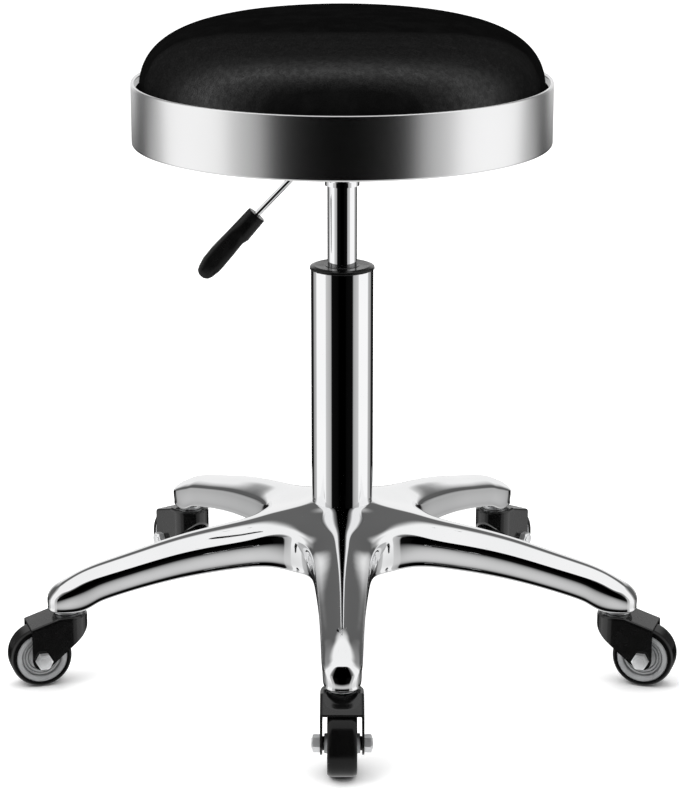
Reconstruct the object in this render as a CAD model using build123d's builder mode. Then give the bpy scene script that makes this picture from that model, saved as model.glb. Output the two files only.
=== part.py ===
from build123d import *
import os
from math import acos, atan2, cos, radians, sin, tan

os.makedirs("parts", exist_ok=True)

# A rolling stool. Z is up, the floor is Z = 0, the column stands on the Z axis,
# one arm points along -Y and the height lever reaches out along -X.

# Overall sizes, in millimetres
stem_circle_radius = 236.6  # column axis to each caster stem
arm_count = 5
ring_radius = 168.6  # outside of the seat's trim ring
column_length = 250.0  # foot of the column tube to its rim
lower_travel = 60.0  # seat travel down from the height drawn
raise_travel = 60.0  # seat travel up from the height drawn

# Clearances
running_fit = 0.05  # radial, a shaft that turns or slides in its hole
free_gap = 0.3  # between pieces that move past each other
screw_gap = 0.25  # radial, a screw in a clearance hole

# Wheel
wheel_radius = 25.0
wheel_width = 22.5
tread_depth = 4.2
tread_corner = 3.2
rim_depth = 4.6
rim_bevel = 0.8
web_half = 6.5
web_dish = 2.0
nave_radius = 7.6
nave_stand = 2.25  # nave's face beyond the tread's side

# Axle
axle_radius = 3.9
sleeve_wall = 1.5
axle_hex = 12.0  # across flats
axle_head_height = 5.6
axle_face_radius = 4.8
axle_face_height = 0.9

# Fork
fork_sheet = 1.8
cheek_gap = 1.4  # wheel nave to cheek
caster_trail = 23.4  # stem axis to axle
axle_boss_radius = 8.7
fork_bend = 2.4
fork_crown_length = 8.0  # level part of the crown, out from the stem
fork_crown_rise = 7.4  # level part above the outer lip
wheel_headroom = 1.6
skirt_side_drop = 25.7  # crown to the skirt's edge beside the stem
skirt_back_drop = 10.0  # crown to the skirt's edge behind the stem

# Caster stem
stem_radius = 5.0
stem_length = 18.0
stem_flange_radius = 10.5
stem_flange_height = 2.7
stem_neck_radius = 4.0
stem_head_radius = 8.2
stem_head_height = 2.4
swivel_ball_radius = 1.6
swivel_ball_count = 10

# Star base
arm_nose_radius = 15.0
arm_nose_reach = 1.5  # stem axis to the middle of the nose
arm_root_half = 24.8
arm_waist_half = 18.0
arm_wall = 4.0
arm_rib = 3.0
arm_foot_pad = 10.0  # height of the flat boss above the caster
hub_rise = 18.0  # arm foot to the hub's foot
hub_height = 51.0
hub_foot_wall = 16.5
collar_wall = 1.1
arm_crown_drop = 1.8  # hub rim to the arm's ridge at the column

# Column
column_radius = 25.5
column_wall = 2.0
column_foot_taper = 0.9
column_foot_drop = 1.0
column_floor = 2.5
bush_length = 80.0
cap_thickness = 3.0
cap_overhang = 1.0

# Gas spring
tube_radius = 12.0
tube_wall = 1.5
tube_taper = 0.6
rod_radius = 5.0
rod_foot_radius = 4.0
rod_foot_drop = 5.0
race_radius = 15.0
race_thickness = 2.0
thrust_ball_radius = 2.0
thrust_ball_circle = 10.5
thrust_ball_count = 11
bearing_play = 0.1
bumper_radius = 11.0
bumper_length = 20.0
bumper_gap = 2.0
clip_radius = 8.0
clip_thickness = 1.2
clip_groove = 1.0
rod_guide_length = 15.0
stroke_reserve = 1.0
piston_length = 10.0
piston_nut_height = 3.0
pin_radius = 2.5
pin_bore_depth = 26.0
pin_rise = 8.5  # button above the top of the tube
pin_length = 30.0

# Cone socket and seat plate
landing_gap = 6.0  # cap to socket with the seat right down
cone_length = 22.0
cone_wall = 1.4
cone_lip = 0.6
cone_lip_height = 4.0
tube_stand_out = 1.0
socket_to_board = 67.0
plate_half = 85.0
plate_corner = 12.0
plate_thickness = 2.5
bracket_gap_half = 18.0
bracket_wall = 2.0
bracket_rise = 7.5  # socket foot to the bracket's lower edge
bracket_left = 40.0
bracket_right = 24.0
web_rise = 16.0
web_left = 20.0
bolt_spacing = 120.0
bolt_radius = 3.0
bolt_hex = 10.0
bolt_head_height = 4.0
bolt_flange_radius = 8.0
bolt_flange_height = 1.2
nut_wall = 1.5
nut_flange_width = 5.0
nut_flange_height = 1.5
bolt_tip_inset = 2.0

# Lever
lever_rod_radius = 2.5
lever_slope = 46.4  # degrees below level
lever_bend_x = 13.2
lever_bend_radius = 8.0
lever_pivot_x = 30.0
lever_end_x = 2.0
grip_start_x = 69.0
grip_slope = 48.4
grip_length = 68.5
grip_half_width = 8.2
grip_half_depth = 7.0
grip_round = 3.2
grip_step_start = 19.8
grip_step_end = 26.3
grip_socket_depth = 30.0
journal_radius = 3.0
barrel_radius = 4.6
lever_bush_wall = 2.0
lever_bush_lip = 1.5
lever_bush_flange = 1.0

# Seat
board_thickness = 12.0
cushion_height = 59.5
cushion_gap = 2.6  # ring to cover
cover_thickness = 1.5
hem_width = 30.0
crown_side_power = 3.82
crown_top_power = 2.36
ring_wall = 1.2
ring_height = 49.4
ring_drop = 30.7  # board's underside to the ring's lower edge
ring_bead = 1.3
ring_lip = 2.6
tab_width = 16.0
tab_sheet = 1.5
tab_depth = 16.5
tab_leg = 17.0
tab_screw_inset = 9.0
tab_count = 4
screw_radius = 2.0
screw_head_radius = 4.0
screw_head_height = 2.4
screw_grip = 9.0
dust_cover_thickness = 0.6
dust_cover_overlap = 15.0

# Heights that follow
axle_z = wheel_radius
fork_lip_z = 2 * wheel_radius + wheel_headroom
fork_top_z = fork_lip_z + fork_crown_rise
arm_foot_z = fork_top_z + free_gap + stem_flange_height
hub_foot_z = arm_foot_z + hub_rise
hub_top_z = hub_foot_z + hub_height
column_foot_z = hub_foot_z - column_foot_drop
column_top_z = column_foot_z + column_length
cone_foot_z = column_top_z + cap_thickness + lower_travel + landing_gap
cone_top_z = cone_foot_z + cone_length
tube_top_z = cone_top_z + tube_stand_out
board_foot_z = cone_foot_z + socket_to_board
board_top_z = board_foot_z + board_thickness
plate_top_z = board_foot_z - dust_cover_thickness
plate_foot_z = plate_top_z - plate_thickness
ring_foot_z = board_foot_z - ring_drop
hem_foot_z = board_foot_z - cover_thickness

# Heights inside the column
floor_top_z = column_foot_z + column_floor
lower_race_top_z = floor_top_z + race_thickness
thrust_ball_z = lower_race_top_z + thrust_ball_radius
upper_race_foot_z = thrust_ball_z + thrust_ball_radius + bearing_play
upper_race_top_z = upper_race_foot_z + race_thickness
bumper_top_z = upper_race_top_z + bumper_length
tube_foot_z = bumper_top_z + bumper_gap + lower_travel
rod_guide_top_z = tube_foot_z + rod_guide_length
piston_foot_z = rod_guide_top_z + raise_travel + stroke_reserve
piston_top_z = piston_foot_z + piston_length
valve_foot_z = piston_top_z + lower_travel + stroke_reserve + piston_nut_height
pin_top_z = tube_top_z + pin_rise
pin_foot_z = pin_top_z - pin_length

# Radii and places that follow
column_bore_radius = column_radius - column_wall
cap_radius = column_radius + cap_overhang
hub_collar_radius = column_radius + collar_wall
hub_foot_radius = column_radius + hub_foot_wall
tube_bore_radius = tube_radius - tube_wall
cone_radius = tube_radius + cone_wall
cone_lip_radius = cone_radius + cone_lip
lever_bush_radius = journal_radius + lever_bush_wall
lever_bush_flange_radius = lever_bush_radius + lever_bush_lip
nut_barrel_radius = bolt_radius + nut_wall
nut_flange_radius = nut_barrel_radius + nut_flange_width
ring_bore_radius = ring_radius - ring_wall
cushion_radius = ring_bore_radius - cushion_gap
board_radius = cushion_radius - cover_thickness
hem_radius = cushion_radius - hem_width
rim_radius = wheel_radius - tread_depth
sleeve_radius = axle_radius + sleeve_wall
nave_half = wheel_width / 2 + nave_stand
fork_bore_half = nave_half + cheek_gap
fork_half = fork_bore_half + fork_sheet
lever_end_z = pin_top_z + free_gap + lever_rod_radius
lever_pivot_z = lever_end_z - (lever_pivot_x - lever_bend_x) * tan(radians(lever_slope))
grip_start_z = lever_end_z - (grip_start_x - lever_bend_x) * tan(radians(lever_slope))
azimuths = [360 / arm_count * i - 90 for i in range(arm_count)]


def outward(azimuth, distance=0.0, height=0.0):
    """Point at a distance from the column axis, in the direction of an arm."""
    return (distance * cos(radians(azimuth)), distance * sin(radians(azimuth)), height)


def arm_side_plane(azimuth, distance=0.0, height=0.0):
    """Upright plane along an arm: its x runs outward and its y runs up."""
    turn = radians(azimuth)
    return Plane(
        origin=outward(azimuth, distance, height),
        x_dir=(cos(turn), sin(turn), 0),
        z_dir=(sin(turn), -cos(turn), 0),
    )


def arm_plan_plane(azimuth, distance=0.0, height=0.0):
    """Level plane at a height: its x runs outward along an arm."""
    turn = radians(azimuth)
    return Plane(
        origin=outward(azimuth, distance, height),
        x_dir=(cos(turn), sin(turn), 0),
        z_dir=(0, 0, 1),
    )


def axle_section_plane(azimuth):
    """Plane through an axle: its x runs along the axle and its y runs up."""
    turn = radians(azimuth)
    return Plane(
        origin=outward(azimuth, stem_circle_radius + caster_trail, axle_z),
        x_dir=(-sin(turn), cos(turn), 0),
        z_dir=(cos(turn), sin(turn), 0),
    )


def export(piece, name):
    """Label a finished piece and write it as its own STEP file."""
    piece.part.label = name
    export_step(piece.part, f"parts/{name}.step")


def draw_arch(half, ridge_z, belly_z):
    """Outline of an arched section: flat belly, upright sides, round top."""
    shoulder_z = ridge_z - 0.9 * min(half, ridge_z - belly_z)
    Polyline((-half, shoulder_z), (-half, belly_z), (half, belly_z), (half, shoulder_z))
    ThreePointArc((half, shoulder_z), (0, ridge_z), (-half, shoulder_z))


def draw_crown(radius, height, base_z, steps=8):
    """Half outline of the cushion's crown, a superellipse, from its rim to its top."""
    points = []
    for step in range(steps):
        turn = radians(90 * step / steps)
        across = radius * cos(turn) ** (2 / crown_side_power)
        up = height * sin(turn) ** (2 / crown_top_power)
        points.append((across, base_z + up))
    return Spline(*points, (0, base_z + height), tangents=[(0, 1), (-1, 0)])


# Star base: arms, hub and stem bosses in one casting, ribbed and open underneath.
# An arm's stations: distance out, half width, ridge and belly.
reach = stem_circle_radius
nose_x = reach + arm_nose_reach + arm_nose_radius
ridge_z = hub_top_z - arm_crown_drop
shaft_stations = [
    (0, arm_root_half, ridge_z, hub_foot_z),
    (0.3 * reach, arm_root_half - 0.4, ridge_z - 6.4, arm_foot_z + 25.4),
    (0.48 * reach, arm_waist_half + 3, ridge_z - 11.6, arm_foot_z + 24),
    (0.64 * reach, arm_waist_half, ridge_z - 17.2, arm_foot_z + 20.4),
    (0.79 * reach, arm_nose_radius + 1.6, ridge_z - 26, arm_foot_z + 13.6),
    (0.925 * reach, arm_nose_radius + 0.4, ridge_z - 35.2, arm_foot_z + 5),
    (reach, arm_nose_radius, ridge_z - 43.6, arm_foot_z + 2.5),
]
nose_stations = [
    shaft_stations[-1],
    (nose_x - 6, arm_nose_radius, ridge_z - 54.7, arm_foot_z + 1.5),
    (nose_x + 0.4, arm_nose_radius, arm_foot_z + 2, arm_foot_z + 0.2),
]

with BuildPart() as arm:
    for distance, half, top_z, belly_z in shaft_stations:
        with BuildSketch(Plane(origin=(distance, 0, 0), x_dir=(0, 1, 0), z_dir=(1, 0, 0))):
            with BuildLine():
                draw_arch(half, top_z, belly_z)
            make_face()
    loft()
    for distance, half, top_z, belly_z in nose_stations:
        with BuildSketch(Plane(origin=(distance, 0, 0), x_dir=(0, 1, 0), z_dir=(1, 0, 0))):
            with BuildLine():
                draw_arch(half, top_z, belly_z)
            make_face()
    loft(ruled=True)
    with BuildSketch(Plane.XY.offset(arm_foot_z)):
        with Locations((reach + arm_nose_reach, 0)):
            Circle(arm_nose_radius)
    extrude(amount=arm_foot_pad)
    with BuildSketch(Plane.XY):
        Rectangle(2 * (reach + arm_nose_reach), 4 * arm_root_half)
        with Locations((reach + arm_nose_reach, 0)):
            Circle(arm_nose_radius)
    extrude(amount=hub_top_z, mode=Mode.INTERSECT)

# The hollow under an arm stops short of the hub and of the stem boss
hollow_start = hub_foot_radius
hollow_end = reach - arm_nose_radius - arm_wall
with BuildPart() as arm_hollow:
    for distance, half, top_z, belly_z in shaft_stations[:-1]:
        with BuildSketch(Plane(origin=(distance, 0, 0), x_dir=(0, 1, 0), z_dir=(1, 0, 0))):
            with BuildLine():
                draw_arch(half - arm_wall, top_z - arm_wall, belly_z - arm_wall)
            make_face()
    loft()
    with BuildSketch(Plane.XZ):
        with Locations(((hollow_start + hollow_end) / 2, 0)):
            Rectangle(hollow_end - hollow_start, 2 * hub_top_z)
    extrude(amount=arm_root_half, both=True, mode=Mode.INTERSECT)
    with BuildSketch(Plane.XY):
        with Locations(((hollow_start + hollow_end) / 2, 0)):
            Rectangle(hollow_end - hollow_start, arm_rib)
    extrude(amount=hub_top_z, mode=Mode.SUBTRACT)

with BuildPart() as star_base:
    with BuildSketch(Plane.XZ):
        with BuildLine():
            flare = Spline(
                (hub_foot_radius, hub_foot_z),
                (hub_foot_radius - 6, hub_foot_z + 0.55 * hub_height),
                (hub_collar_radius, hub_top_z),
                tangents=[(0, 1), (-0.1, 1)],
            )
            Polyline(flare @ 1, (0, hub_top_z), (0, hub_foot_z), flare @ 0)
        make_face()
    revolve(axis=Axis.Z)
    with PolarLocations(0, arm_count, start_angle=-90):
        add(arm.part)
    with PolarLocations(0, arm_count, start_angle=-90):
        add(arm_hollow.part, mode=Mode.SUBTRACT)
    with BuildSketch(Plane.XY.offset(arm_foot_z)):
        with PolarLocations(reach, arm_count, start_angle=-90):
            Circle(stem_radius)
    extrude(amount=stem_length + 1, mode=Mode.SUBTRACT)
    with BuildSketch(Plane.XZ):
        with BuildLine():
            foot_radius = column_radius - column_foot_taper
            Polyline(
                (0, hub_foot_z - 1),
                (foot_radius, column_foot_z),
                (column_radius, hub_top_z),
                (0, hub_top_z),
                close=True,
            )
        make_face()
    revolve(axis=Axis.Z, mode=Mode.SUBTRACT)
export(star_base, "star_base")

# Column tube: tapered foot in the hub, turned-in floor with the rod's hole
with BuildPart() as column_tube:
    with BuildSketch(Plane.XZ):
        with BuildLine():
            Polyline(
                (rod_foot_radius + running_fit, column_foot_z),
                (foot_radius, column_foot_z),
                (column_radius, hub_top_z),
                (column_radius, column_top_z),
                (column_bore_radius, column_top_z),
                (column_bore_radius, floor_top_z),
                (rod_foot_radius + running_fit, floor_top_z),
                close=True,
            )
        make_face()
    revolve(axis=Axis.Z)
export(column_tube, "column_tube")

# Guide bush: long plastic sleeve with the cap that shows on top of the column
with BuildPart() as guide_bush:
    with BuildSketch(Plane.XZ):
        with BuildLine():
            bush_bore = tube_radius + running_fit
            Polyline(
                (bush_bore, column_top_z - bush_length),
                (column_bore_radius, column_top_z - bush_length),
                (column_bore_radius, column_top_z),
                (cap_radius, column_top_z),
                (cap_radius, column_top_z + cap_thickness),
                (bush_bore, column_top_z + cap_thickness),
                close=True,
            )
        make_face()
    revolve(axis=Axis.Z)
    cap_rim = guide_bush.edges().filter_by(GeomType.CIRCLE).sort_by(Axis.Z)[-2:]
    fillet(cap_rim.sort_by(SortBy.RADIUS)[-1], radius=cap_thickness / 3)
export(guide_bush, "guide_bush")


def export_washer(name, inner, outer, foot_z, top_z):
    """A plain ring round the Z axis."""
    with BuildPart() as washer:
        with BuildSketch(Plane.XY.offset(foot_z)):
            Circle(outer)
            Circle(inner, mode=Mode.SUBTRACT)
        extrude(amount=top_z - foot_z)
    export(washer, name)


# Thrust bearing, bumper and clip on the piston rod's foot
export_washer("lower_race", rod_foot_radius + free_gap, race_radius, floor_top_z, lower_race_top_z)
export_washer("upper_race", rod_foot_radius, race_radius, upper_race_foot_z, upper_race_top_z)
export_washer("rubber_bumper", rod_radius, bumper_radius, upper_race_top_z, bumper_top_z)
clip_top_z = column_foot_z - free_gap
clip_foot_z = clip_top_z - clip_thickness
export_washer("retaining_clip", rod_foot_radius - clip_groove, clip_radius, clip_foot_z, clip_top_z)

with BuildPart() as thrust_balls:
    with PolarLocations(thrust_ball_circle, thrust_ball_count):
        with Locations((0, 0, thrust_ball_z)):
            Sphere(thrust_ball_radius)
export(thrust_balls, "thrust_balls")

# Gas spring: rod standing in the column, tube hanging from the seat
with BuildPart() as piston_rod:
    with BuildSketch(Plane.XZ):
        with BuildLine():
            Polyline(
                (0, column_foot_z - rod_foot_drop),
                (rod_foot_radius, column_foot_z - rod_foot_drop),
                (rod_foot_radius, clip_foot_z),
                (rod_foot_radius - clip_groove, clip_foot_z),
                (rod_foot_radius - clip_groove, clip_top_z),
                (rod_foot_radius, clip_top_z),
                (rod_foot_radius, upper_race_top_z),
                (rod_radius, upper_race_top_z),
                (rod_radius, piston_foot_z),
                (rod_foot_radius, piston_foot_z),
                (rod_foot_radius, piston_top_z + piston_nut_height),
                (0, piston_top_z + piston_nut_height),
                close=True,
            )
        make_face()
    revolve(axis=Axis.Z)
export(piston_rod, "piston_rod")

export_washer(
    "piston", rod_foot_radius, tube_bore_radius - running_fit, piston_foot_z, piston_top_z
)
export_washer(
    "rod_guide", rod_radius + running_fit, tube_bore_radius, tube_foot_z, rod_guide_top_z
)

with BuildPart() as pressure_tube:
    with BuildSketch(Plane.XZ):
        with BuildLine():
            Polyline(
                (tube_bore_radius, tube_foot_z),
                (tube_radius, tube_foot_z),
                (tube_radius, cone_foot_z),
                (tube_radius - tube_taper, tube_top_z),
                (tube_bore_radius, tube_top_z),
                close=True,
            )
        make_face()
    revolve(axis=Axis.Z)
export(pressure_tube, "pressure_tube")

with BuildPart() as valve_block:
    with BuildSketch(Plane.XY.offset(valve_foot_z)):
        Circle(tube_bore_radius)
    extrude(amount=tube_top_z - valve_foot_z)
    with BuildSketch(Plane.XY.offset(tube_top_z)):
        Circle(pin_radius + running_fit)
    extrude(amount=-pin_bore_depth, mode=Mode.SUBTRACT)
export(valve_block, "valve_block")

with BuildPart() as release_pin:
    with BuildSketch(Plane.XY.offset(pin_foot_z)):
        Circle(pin_radius)
    extrude(amount=pin_length)
    chamfer(release_pin.edges().group_by(Axis.Z)[-1], length=0.4)
export(release_pin, "release_pin")

# Cone socket, welded into the web of the seat plate's bracket
with BuildPart() as cone_socket:
    with BuildSketch(Plane.XZ):
        with BuildLine():
            cone_top_bore = tube_radius - tube_taper * cone_length / (cone_length + tube_stand_out)
            Polyline(
                (tube_radius, cone_foot_z),
                (cone_lip_radius, cone_foot_z),
                (cone_lip_radius, cone_foot_z + cone_lip_height),
                (cone_radius, cone_foot_z + cone_lip_height + 1),
                (cone_radius, cone_top_z),
                (cone_top_bore, cone_top_z),
                close=True,
            )
        make_face()
    revolve(axis=Axis.Z)
export(cone_socket, "cone_socket")

with BuildPart() as seat_plate:
    with BuildSketch(Plane.XY.offset(plate_foot_z)):
        RectangleRounded(2 * plate_half, 2 * plate_half, plate_corner)
        with GridLocations(bolt_spacing, bolt_spacing, 2, 2):
            Circle(bolt_radius + screw_gap, mode=Mode.SUBTRACT)
    extrude(amount=plate_thickness)
    bracket_foot_z = cone_foot_z + bracket_rise
    with BuildSketch(Plane.XY.offset(bracket_foot_z)):
        for side in (-1, 1):
            wall_y = side * (bracket_gap_half + bracket_wall / 2)
            with Locations(((bracket_right - bracket_left) / 2, wall_y)):
                Rectangle(bracket_left + bracket_right, bracket_wall)
    extrude(amount=plate_foot_z - bracket_foot_z)
    with BuildSketch(Plane.XY.offset(cone_foot_z + web_rise)):
        with Locations(((bracket_right - web_left) / 2, 0)):
            Rectangle(web_left + bracket_right, 2 * bracket_gap_half)
        Circle(cone_radius, mode=Mode.SUBTRACT)
    extrude(amount=plate_thickness)
    with BuildSketch(Plane.XZ.offset(-2 * bracket_gap_half)):
        with Locations((-lever_pivot_x, lever_pivot_z)):
            Circle(lever_bush_radius)
    extrude(amount=4 * bracket_gap_half, mode=Mode.SUBTRACT)
export(seat_plate, "seat_plate")

# Plate bolts from below, and the flanged nuts they pull into the board
with BuildPart() as plate_bolts:
    head_top_z = plate_foot_z - bolt_flange_height
    with BuildSketch(Plane.XY.offset(head_top_z)):
        with GridLocations(bolt_spacing, bolt_spacing, 2, 2):
            Circle(bolt_flange_radius)
    extrude(amount=bolt_flange_height)
    with BuildSketch(Plane.XY.offset(head_top_z - bolt_head_height)):
        with GridLocations(bolt_spacing, bolt_spacing, 2, 2):
            RegularPolygon(bolt_hex / 2, 6, major_radius=False)
    extrude(amount=bolt_head_height)
    with BuildSketch(Plane.XY.offset(plate_foot_z)):
        with GridLocations(bolt_spacing, bolt_spacing, 2, 2):
            Circle(bolt_radius)
    extrude(amount=board_top_z - bolt_tip_inset - plate_foot_z)
export(plate_bolts, "plate_bolts")

with BuildPart() as board_nuts:
    with BuildSketch(Plane.XY.offset(board_foot_z)):
        with GridLocations(bolt_spacing, bolt_spacing, 2, 2):
            Circle(nut_barrel_radius)
    extrude(amount=board_thickness)
    with BuildSketch(Plane.XY.offset(board_top_z - nut_flange_height)):
        with GridLocations(bolt_spacing, bolt_spacing, 2, 2):
            Circle(nut_flange_radius)
    extrude(amount=nut_flange_height)
    with BuildSketch(Plane.XY.offset(board_foot_z)):
        with GridLocations(bolt_spacing, bolt_spacing, 2, 2):
            Circle(bolt_radius)
    extrude(amount=board_thickness, mode=Mode.SUBTRACT)
export(board_nuts, "board_nuts")

# Seat board, with the nuts' holes and the ring screws' pilot holes
screw_circle = ring_bore_radius - tab_screw_inset
with BuildPart() as seat_board:
    with BuildSketch(Plane.XY.offset(board_foot_z)):
        Circle(board_radius)
        with GridLocations(bolt_spacing, bolt_spacing, 2, 2):
            Circle(nut_barrel_radius, mode=Mode.SUBTRACT)
    extrude(amount=board_thickness)
    with BuildSketch(Plane.XY.offset(board_top_z - nut_flange_height)):
        with GridLocations(bolt_spacing, bolt_spacing, 2, 2):
            Circle(nut_flange_radius)
    extrude(amount=nut_flange_height, mode=Mode.SUBTRACT)
    with BuildSketch(Plane.XY.offset(board_foot_z)):
        with PolarLocations(screw_circle, tab_count, start_angle=180 / tab_count):
            Circle(screw_radius)
    extrude(amount=screw_grip, mode=Mode.SUBTRACT)
export(seat_board, "seat_board")

with BuildPart() as seat_foam:
    with BuildSketch(Plane.XZ):
        with BuildLine():
            foam_height = cushion_height - cover_thickness
            foam_crown = draw_crown(board_radius, foam_height, board_top_z)
            Polyline(foam_crown @ 1, (0, board_top_z), foam_crown @ 0)
        make_face()
    revolve(axis=Axis.Z)
export(seat_foam, "seat_foam")

with BuildPart() as seat_cover:
    with BuildSketch(Plane.XZ):
        with BuildLine():
            cover_crown = draw_crown(cushion_radius, cushion_height, board_top_z)
            lining = draw_crown(board_radius, foam_height, board_top_z)
            Line(cover_crown @ 1, lining @ 1)
            Polyline(
                lining @ 0,
                (board_radius, board_foot_z),
                (hem_radius, board_foot_z),
                (hem_radius, hem_foot_z),
                (cushion_radius, hem_foot_z),
                cover_crown @ 0,
            )
        make_face()
    revolve(axis=Axis.Z)
    with BuildSketch(Plane.XY.offset(hem_foot_z)):
        with PolarLocations(screw_circle, tab_count, start_angle=180 / tab_count):
            Circle(screw_radius)
    extrude(amount=cover_thickness, mode=Mode.SUBTRACT)
export(seat_cover, "seat_cover")

# Dust cover: flat under the board in the middle, stepped down over the hem
with BuildPart() as dust_cover:
    with BuildSketch(Plane.XZ):
        with BuildLine():
            sheet = dust_cover_thickness
            Polyline(
                (0, board_foot_z),
                (hem_radius, board_foot_z),
                (hem_radius, hem_foot_z),
                (hem_radius + dust_cover_overlap, hem_foot_z),
                (hem_radius + dust_cover_overlap, hem_foot_z - sheet),
                (hem_radius - sheet, hem_foot_z - sheet),
                (hem_radius - sheet, board_foot_z - sheet),
                (0, board_foot_z - sheet),
                close=True,
            )
        make_face()
    revolve(axis=Axis.Z)
    with BuildSketch(Plane.XY.offset(plate_top_z)):
        with GridLocations(bolt_spacing, bolt_spacing, 2, 2):
            Circle(bolt_radius + screw_gap)
    extrude(amount=dust_cover_thickness, mode=Mode.SUBTRACT)
export(dust_cover, "dust_cover")

# Trim ring: rolled band with a beaded top, a small lip below and spot-welded tabs
ring_top_z = ring_foot_z + ring_height
with BuildPart() as trim_ring:
    with BuildSketch(Plane.XZ):
        with Locations((ring_radius - ring_wall / 2, ring_foot_z + (ring_height - ring_bead) / 2)):
            Rectangle(ring_wall, ring_height - ring_bead)
        with Locations((ring_radius - ring_lip / 2, ring_foot_z + ring_wall / 2)):
            Rectangle(ring_lip, ring_wall)
        with Locations((ring_radius - ring_bead, ring_top_z - ring_bead)):
            Circle(ring_bead)
    revolve(axis=Axis.Z)
    for step in range(tab_count):
        tab_plane = arm_side_plane(360 / tab_count * (step + 0.5))
        with BuildSketch(tab_plane):
            leg_z = hem_foot_z - tab_depth / 2
            with Locations((ring_bore_radius - tab_sheet / 2 + ring_wall / 4, leg_z)):
                Rectangle(tab_sheet + ring_wall / 2, tab_depth)
            with Locations((ring_bore_radius - tab_leg / 2, hem_foot_z - tab_sheet / 2)):
                Rectangle(tab_leg, tab_sheet)
        extrude(amount=tab_width / 2, both=True)
    with BuildSketch(Plane.XY.offset(hem_foot_z)):
        with PolarLocations(screw_circle, tab_count, start_angle=180 / tab_count):
            Circle(screw_radius + screw_gap)
    extrude(amount=-tab_sheet, mode=Mode.SUBTRACT)
export(trim_ring, "trim_ring")

with BuildPart() as ring_screws:
    with BuildSketch(Plane.XY.offset(hem_foot_z - tab_sheet)):
        with PolarLocations(screw_circle, tab_count, start_angle=180 / tab_count):
            Circle(screw_head_radius)
    extrude(amount=-screw_head_height)
    fillet(ring_screws.edges().group_by(Axis.Z)[0], radius=screw_head_height / 2)
    with BuildSketch(Plane.XY.offset(hem_foot_z - tab_sheet)):
        with PolarLocations(screw_circle, tab_count, start_angle=180 / tab_count):
            Circle(screw_radius)
    extrude(amount=tab_sheet + cover_thickness + screw_grip)
export(ring_screws, "ring_screws")

# Height lever: bent rod with a cross barrel, turning in two bushes
with BuildPart() as lever_rod:
    end_reach = grip_start_x + (grip_socket_depth - 1) * cos(radians(lever_slope))
    end_drop = (end_reach - lever_bend_x) * tan(radians(lever_slope))
    with BuildLine(Plane.XZ):
        FilletPolyline(
            (lever_end_x, lever_end_z),
            (-lever_bend_x, lever_end_z),
            (-end_reach, lever_end_z - end_drop),
            radius=lever_bend_radius,
        )
    with BuildSketch(Plane(origin=(lever_end_x, 0, lever_end_z), z_dir=(-1, 0, 0))):
        Circle(lever_rod_radius)
    sweep()
    with BuildSketch(Plane.XZ):
        with Locations((-lever_pivot_x, lever_pivot_z)):
            Circle(barrel_radius)
    extrude(amount=bracket_gap_half - lever_bush_flange - free_gap, both=True)
    with BuildSketch(Plane.XZ):
        with Locations((-lever_pivot_x, lever_pivot_z)):
            Circle(journal_radius)
    extrude(amount=bracket_gap_half + bracket_wall, both=True)
export(lever_rod, "lever_rod")

with BuildPart() as lever_bushes:
    for side in (-1, 1):
        with BuildSketch(Plane.XZ.offset(side * (bracket_gap_half - lever_bush_flange))):
            with Locations((-lever_pivot_x, lever_pivot_z)):
                Circle(lever_bush_radius)
                Circle(journal_radius + running_fit, mode=Mode.SUBTRACT)
        extrude(amount=side * (bracket_wall + lever_bush_flange))
        with BuildSketch(Plane.XZ.offset(side * (bracket_gap_half - lever_bush_flange))):
            with Locations((-lever_pivot_x, lever_pivot_z)):
                Circle(lever_bush_flange_radius)
                Circle(journal_radius + running_fit, mode=Mode.SUBTRACT)
        extrude(amount=side * lever_bush_flange)
export(lever_bushes, "lever_bushes")

# Grip: round sleeve that steps into a finger paddle; its x runs down the grip
grip_turn = radians(180 + grip_slope)
grip_plane = Plane(
    origin=(-grip_start_x, 0, grip_start_z),
    x_dir=(cos(grip_turn), 0, sin(grip_turn)),
    z_dir=(0, 1, 0),
)
with BuildPart() as lever_grip:
    with BuildSketch(grip_plane):
        with BuildLine():
            upper = Spline(
                (0, grip_half_width),
                (0.42 * grip_length, grip_half_width + 0.7),
                (0.65 * grip_length, grip_half_width + 1.5),
                (0.92 * grip_length, grip_half_width - 0.8),
                (grip_length, 0.3 * grip_half_width),
            )
            lower = Spline(
                (grip_step_end, 1 - grip_half_width),
                (0.8 * grip_length, -grip_half_width - 0.2),
                (grip_length, -0.4 * grip_half_width),
                tangents=[(1, 0), (0.6, 1)],
            )
            Line(upper @ 1, lower @ 1)
            Polyline(
                upper @ 0,
                (0, -grip_half_width),
                (grip_step_start, -grip_half_width - 0.7),
                lower @ 0,
            )
        make_face()
    extrude(amount=grip_half_depth, both=True)
    grip_axis = (cos(grip_turn), 0, sin(grip_turn))
    with BuildSketch(Plane(origin=(-grip_start_x, 0, grip_start_z), x_dir=(0, 1, 0), z_dir=grip_axis)):
        RectangleRounded(2 * grip_half_depth, 2 * grip_half_width + 4, grip_round)
    extrude(amount=grip_length, mode=Mode.INTERSECT)
    rod_axis = (-cos(radians(lever_slope)), 0, -sin(radians(lever_slope)))
    with BuildSketch(Plane(origin=(-grip_start_x, 0, grip_start_z), z_dir=rod_axis)):
        Circle(lever_rod_radius)
    extrude(amount=grip_socket_depth, both=True, mode=Mode.SUBTRACT)
export(lever_grip, "lever_grip")

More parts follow.
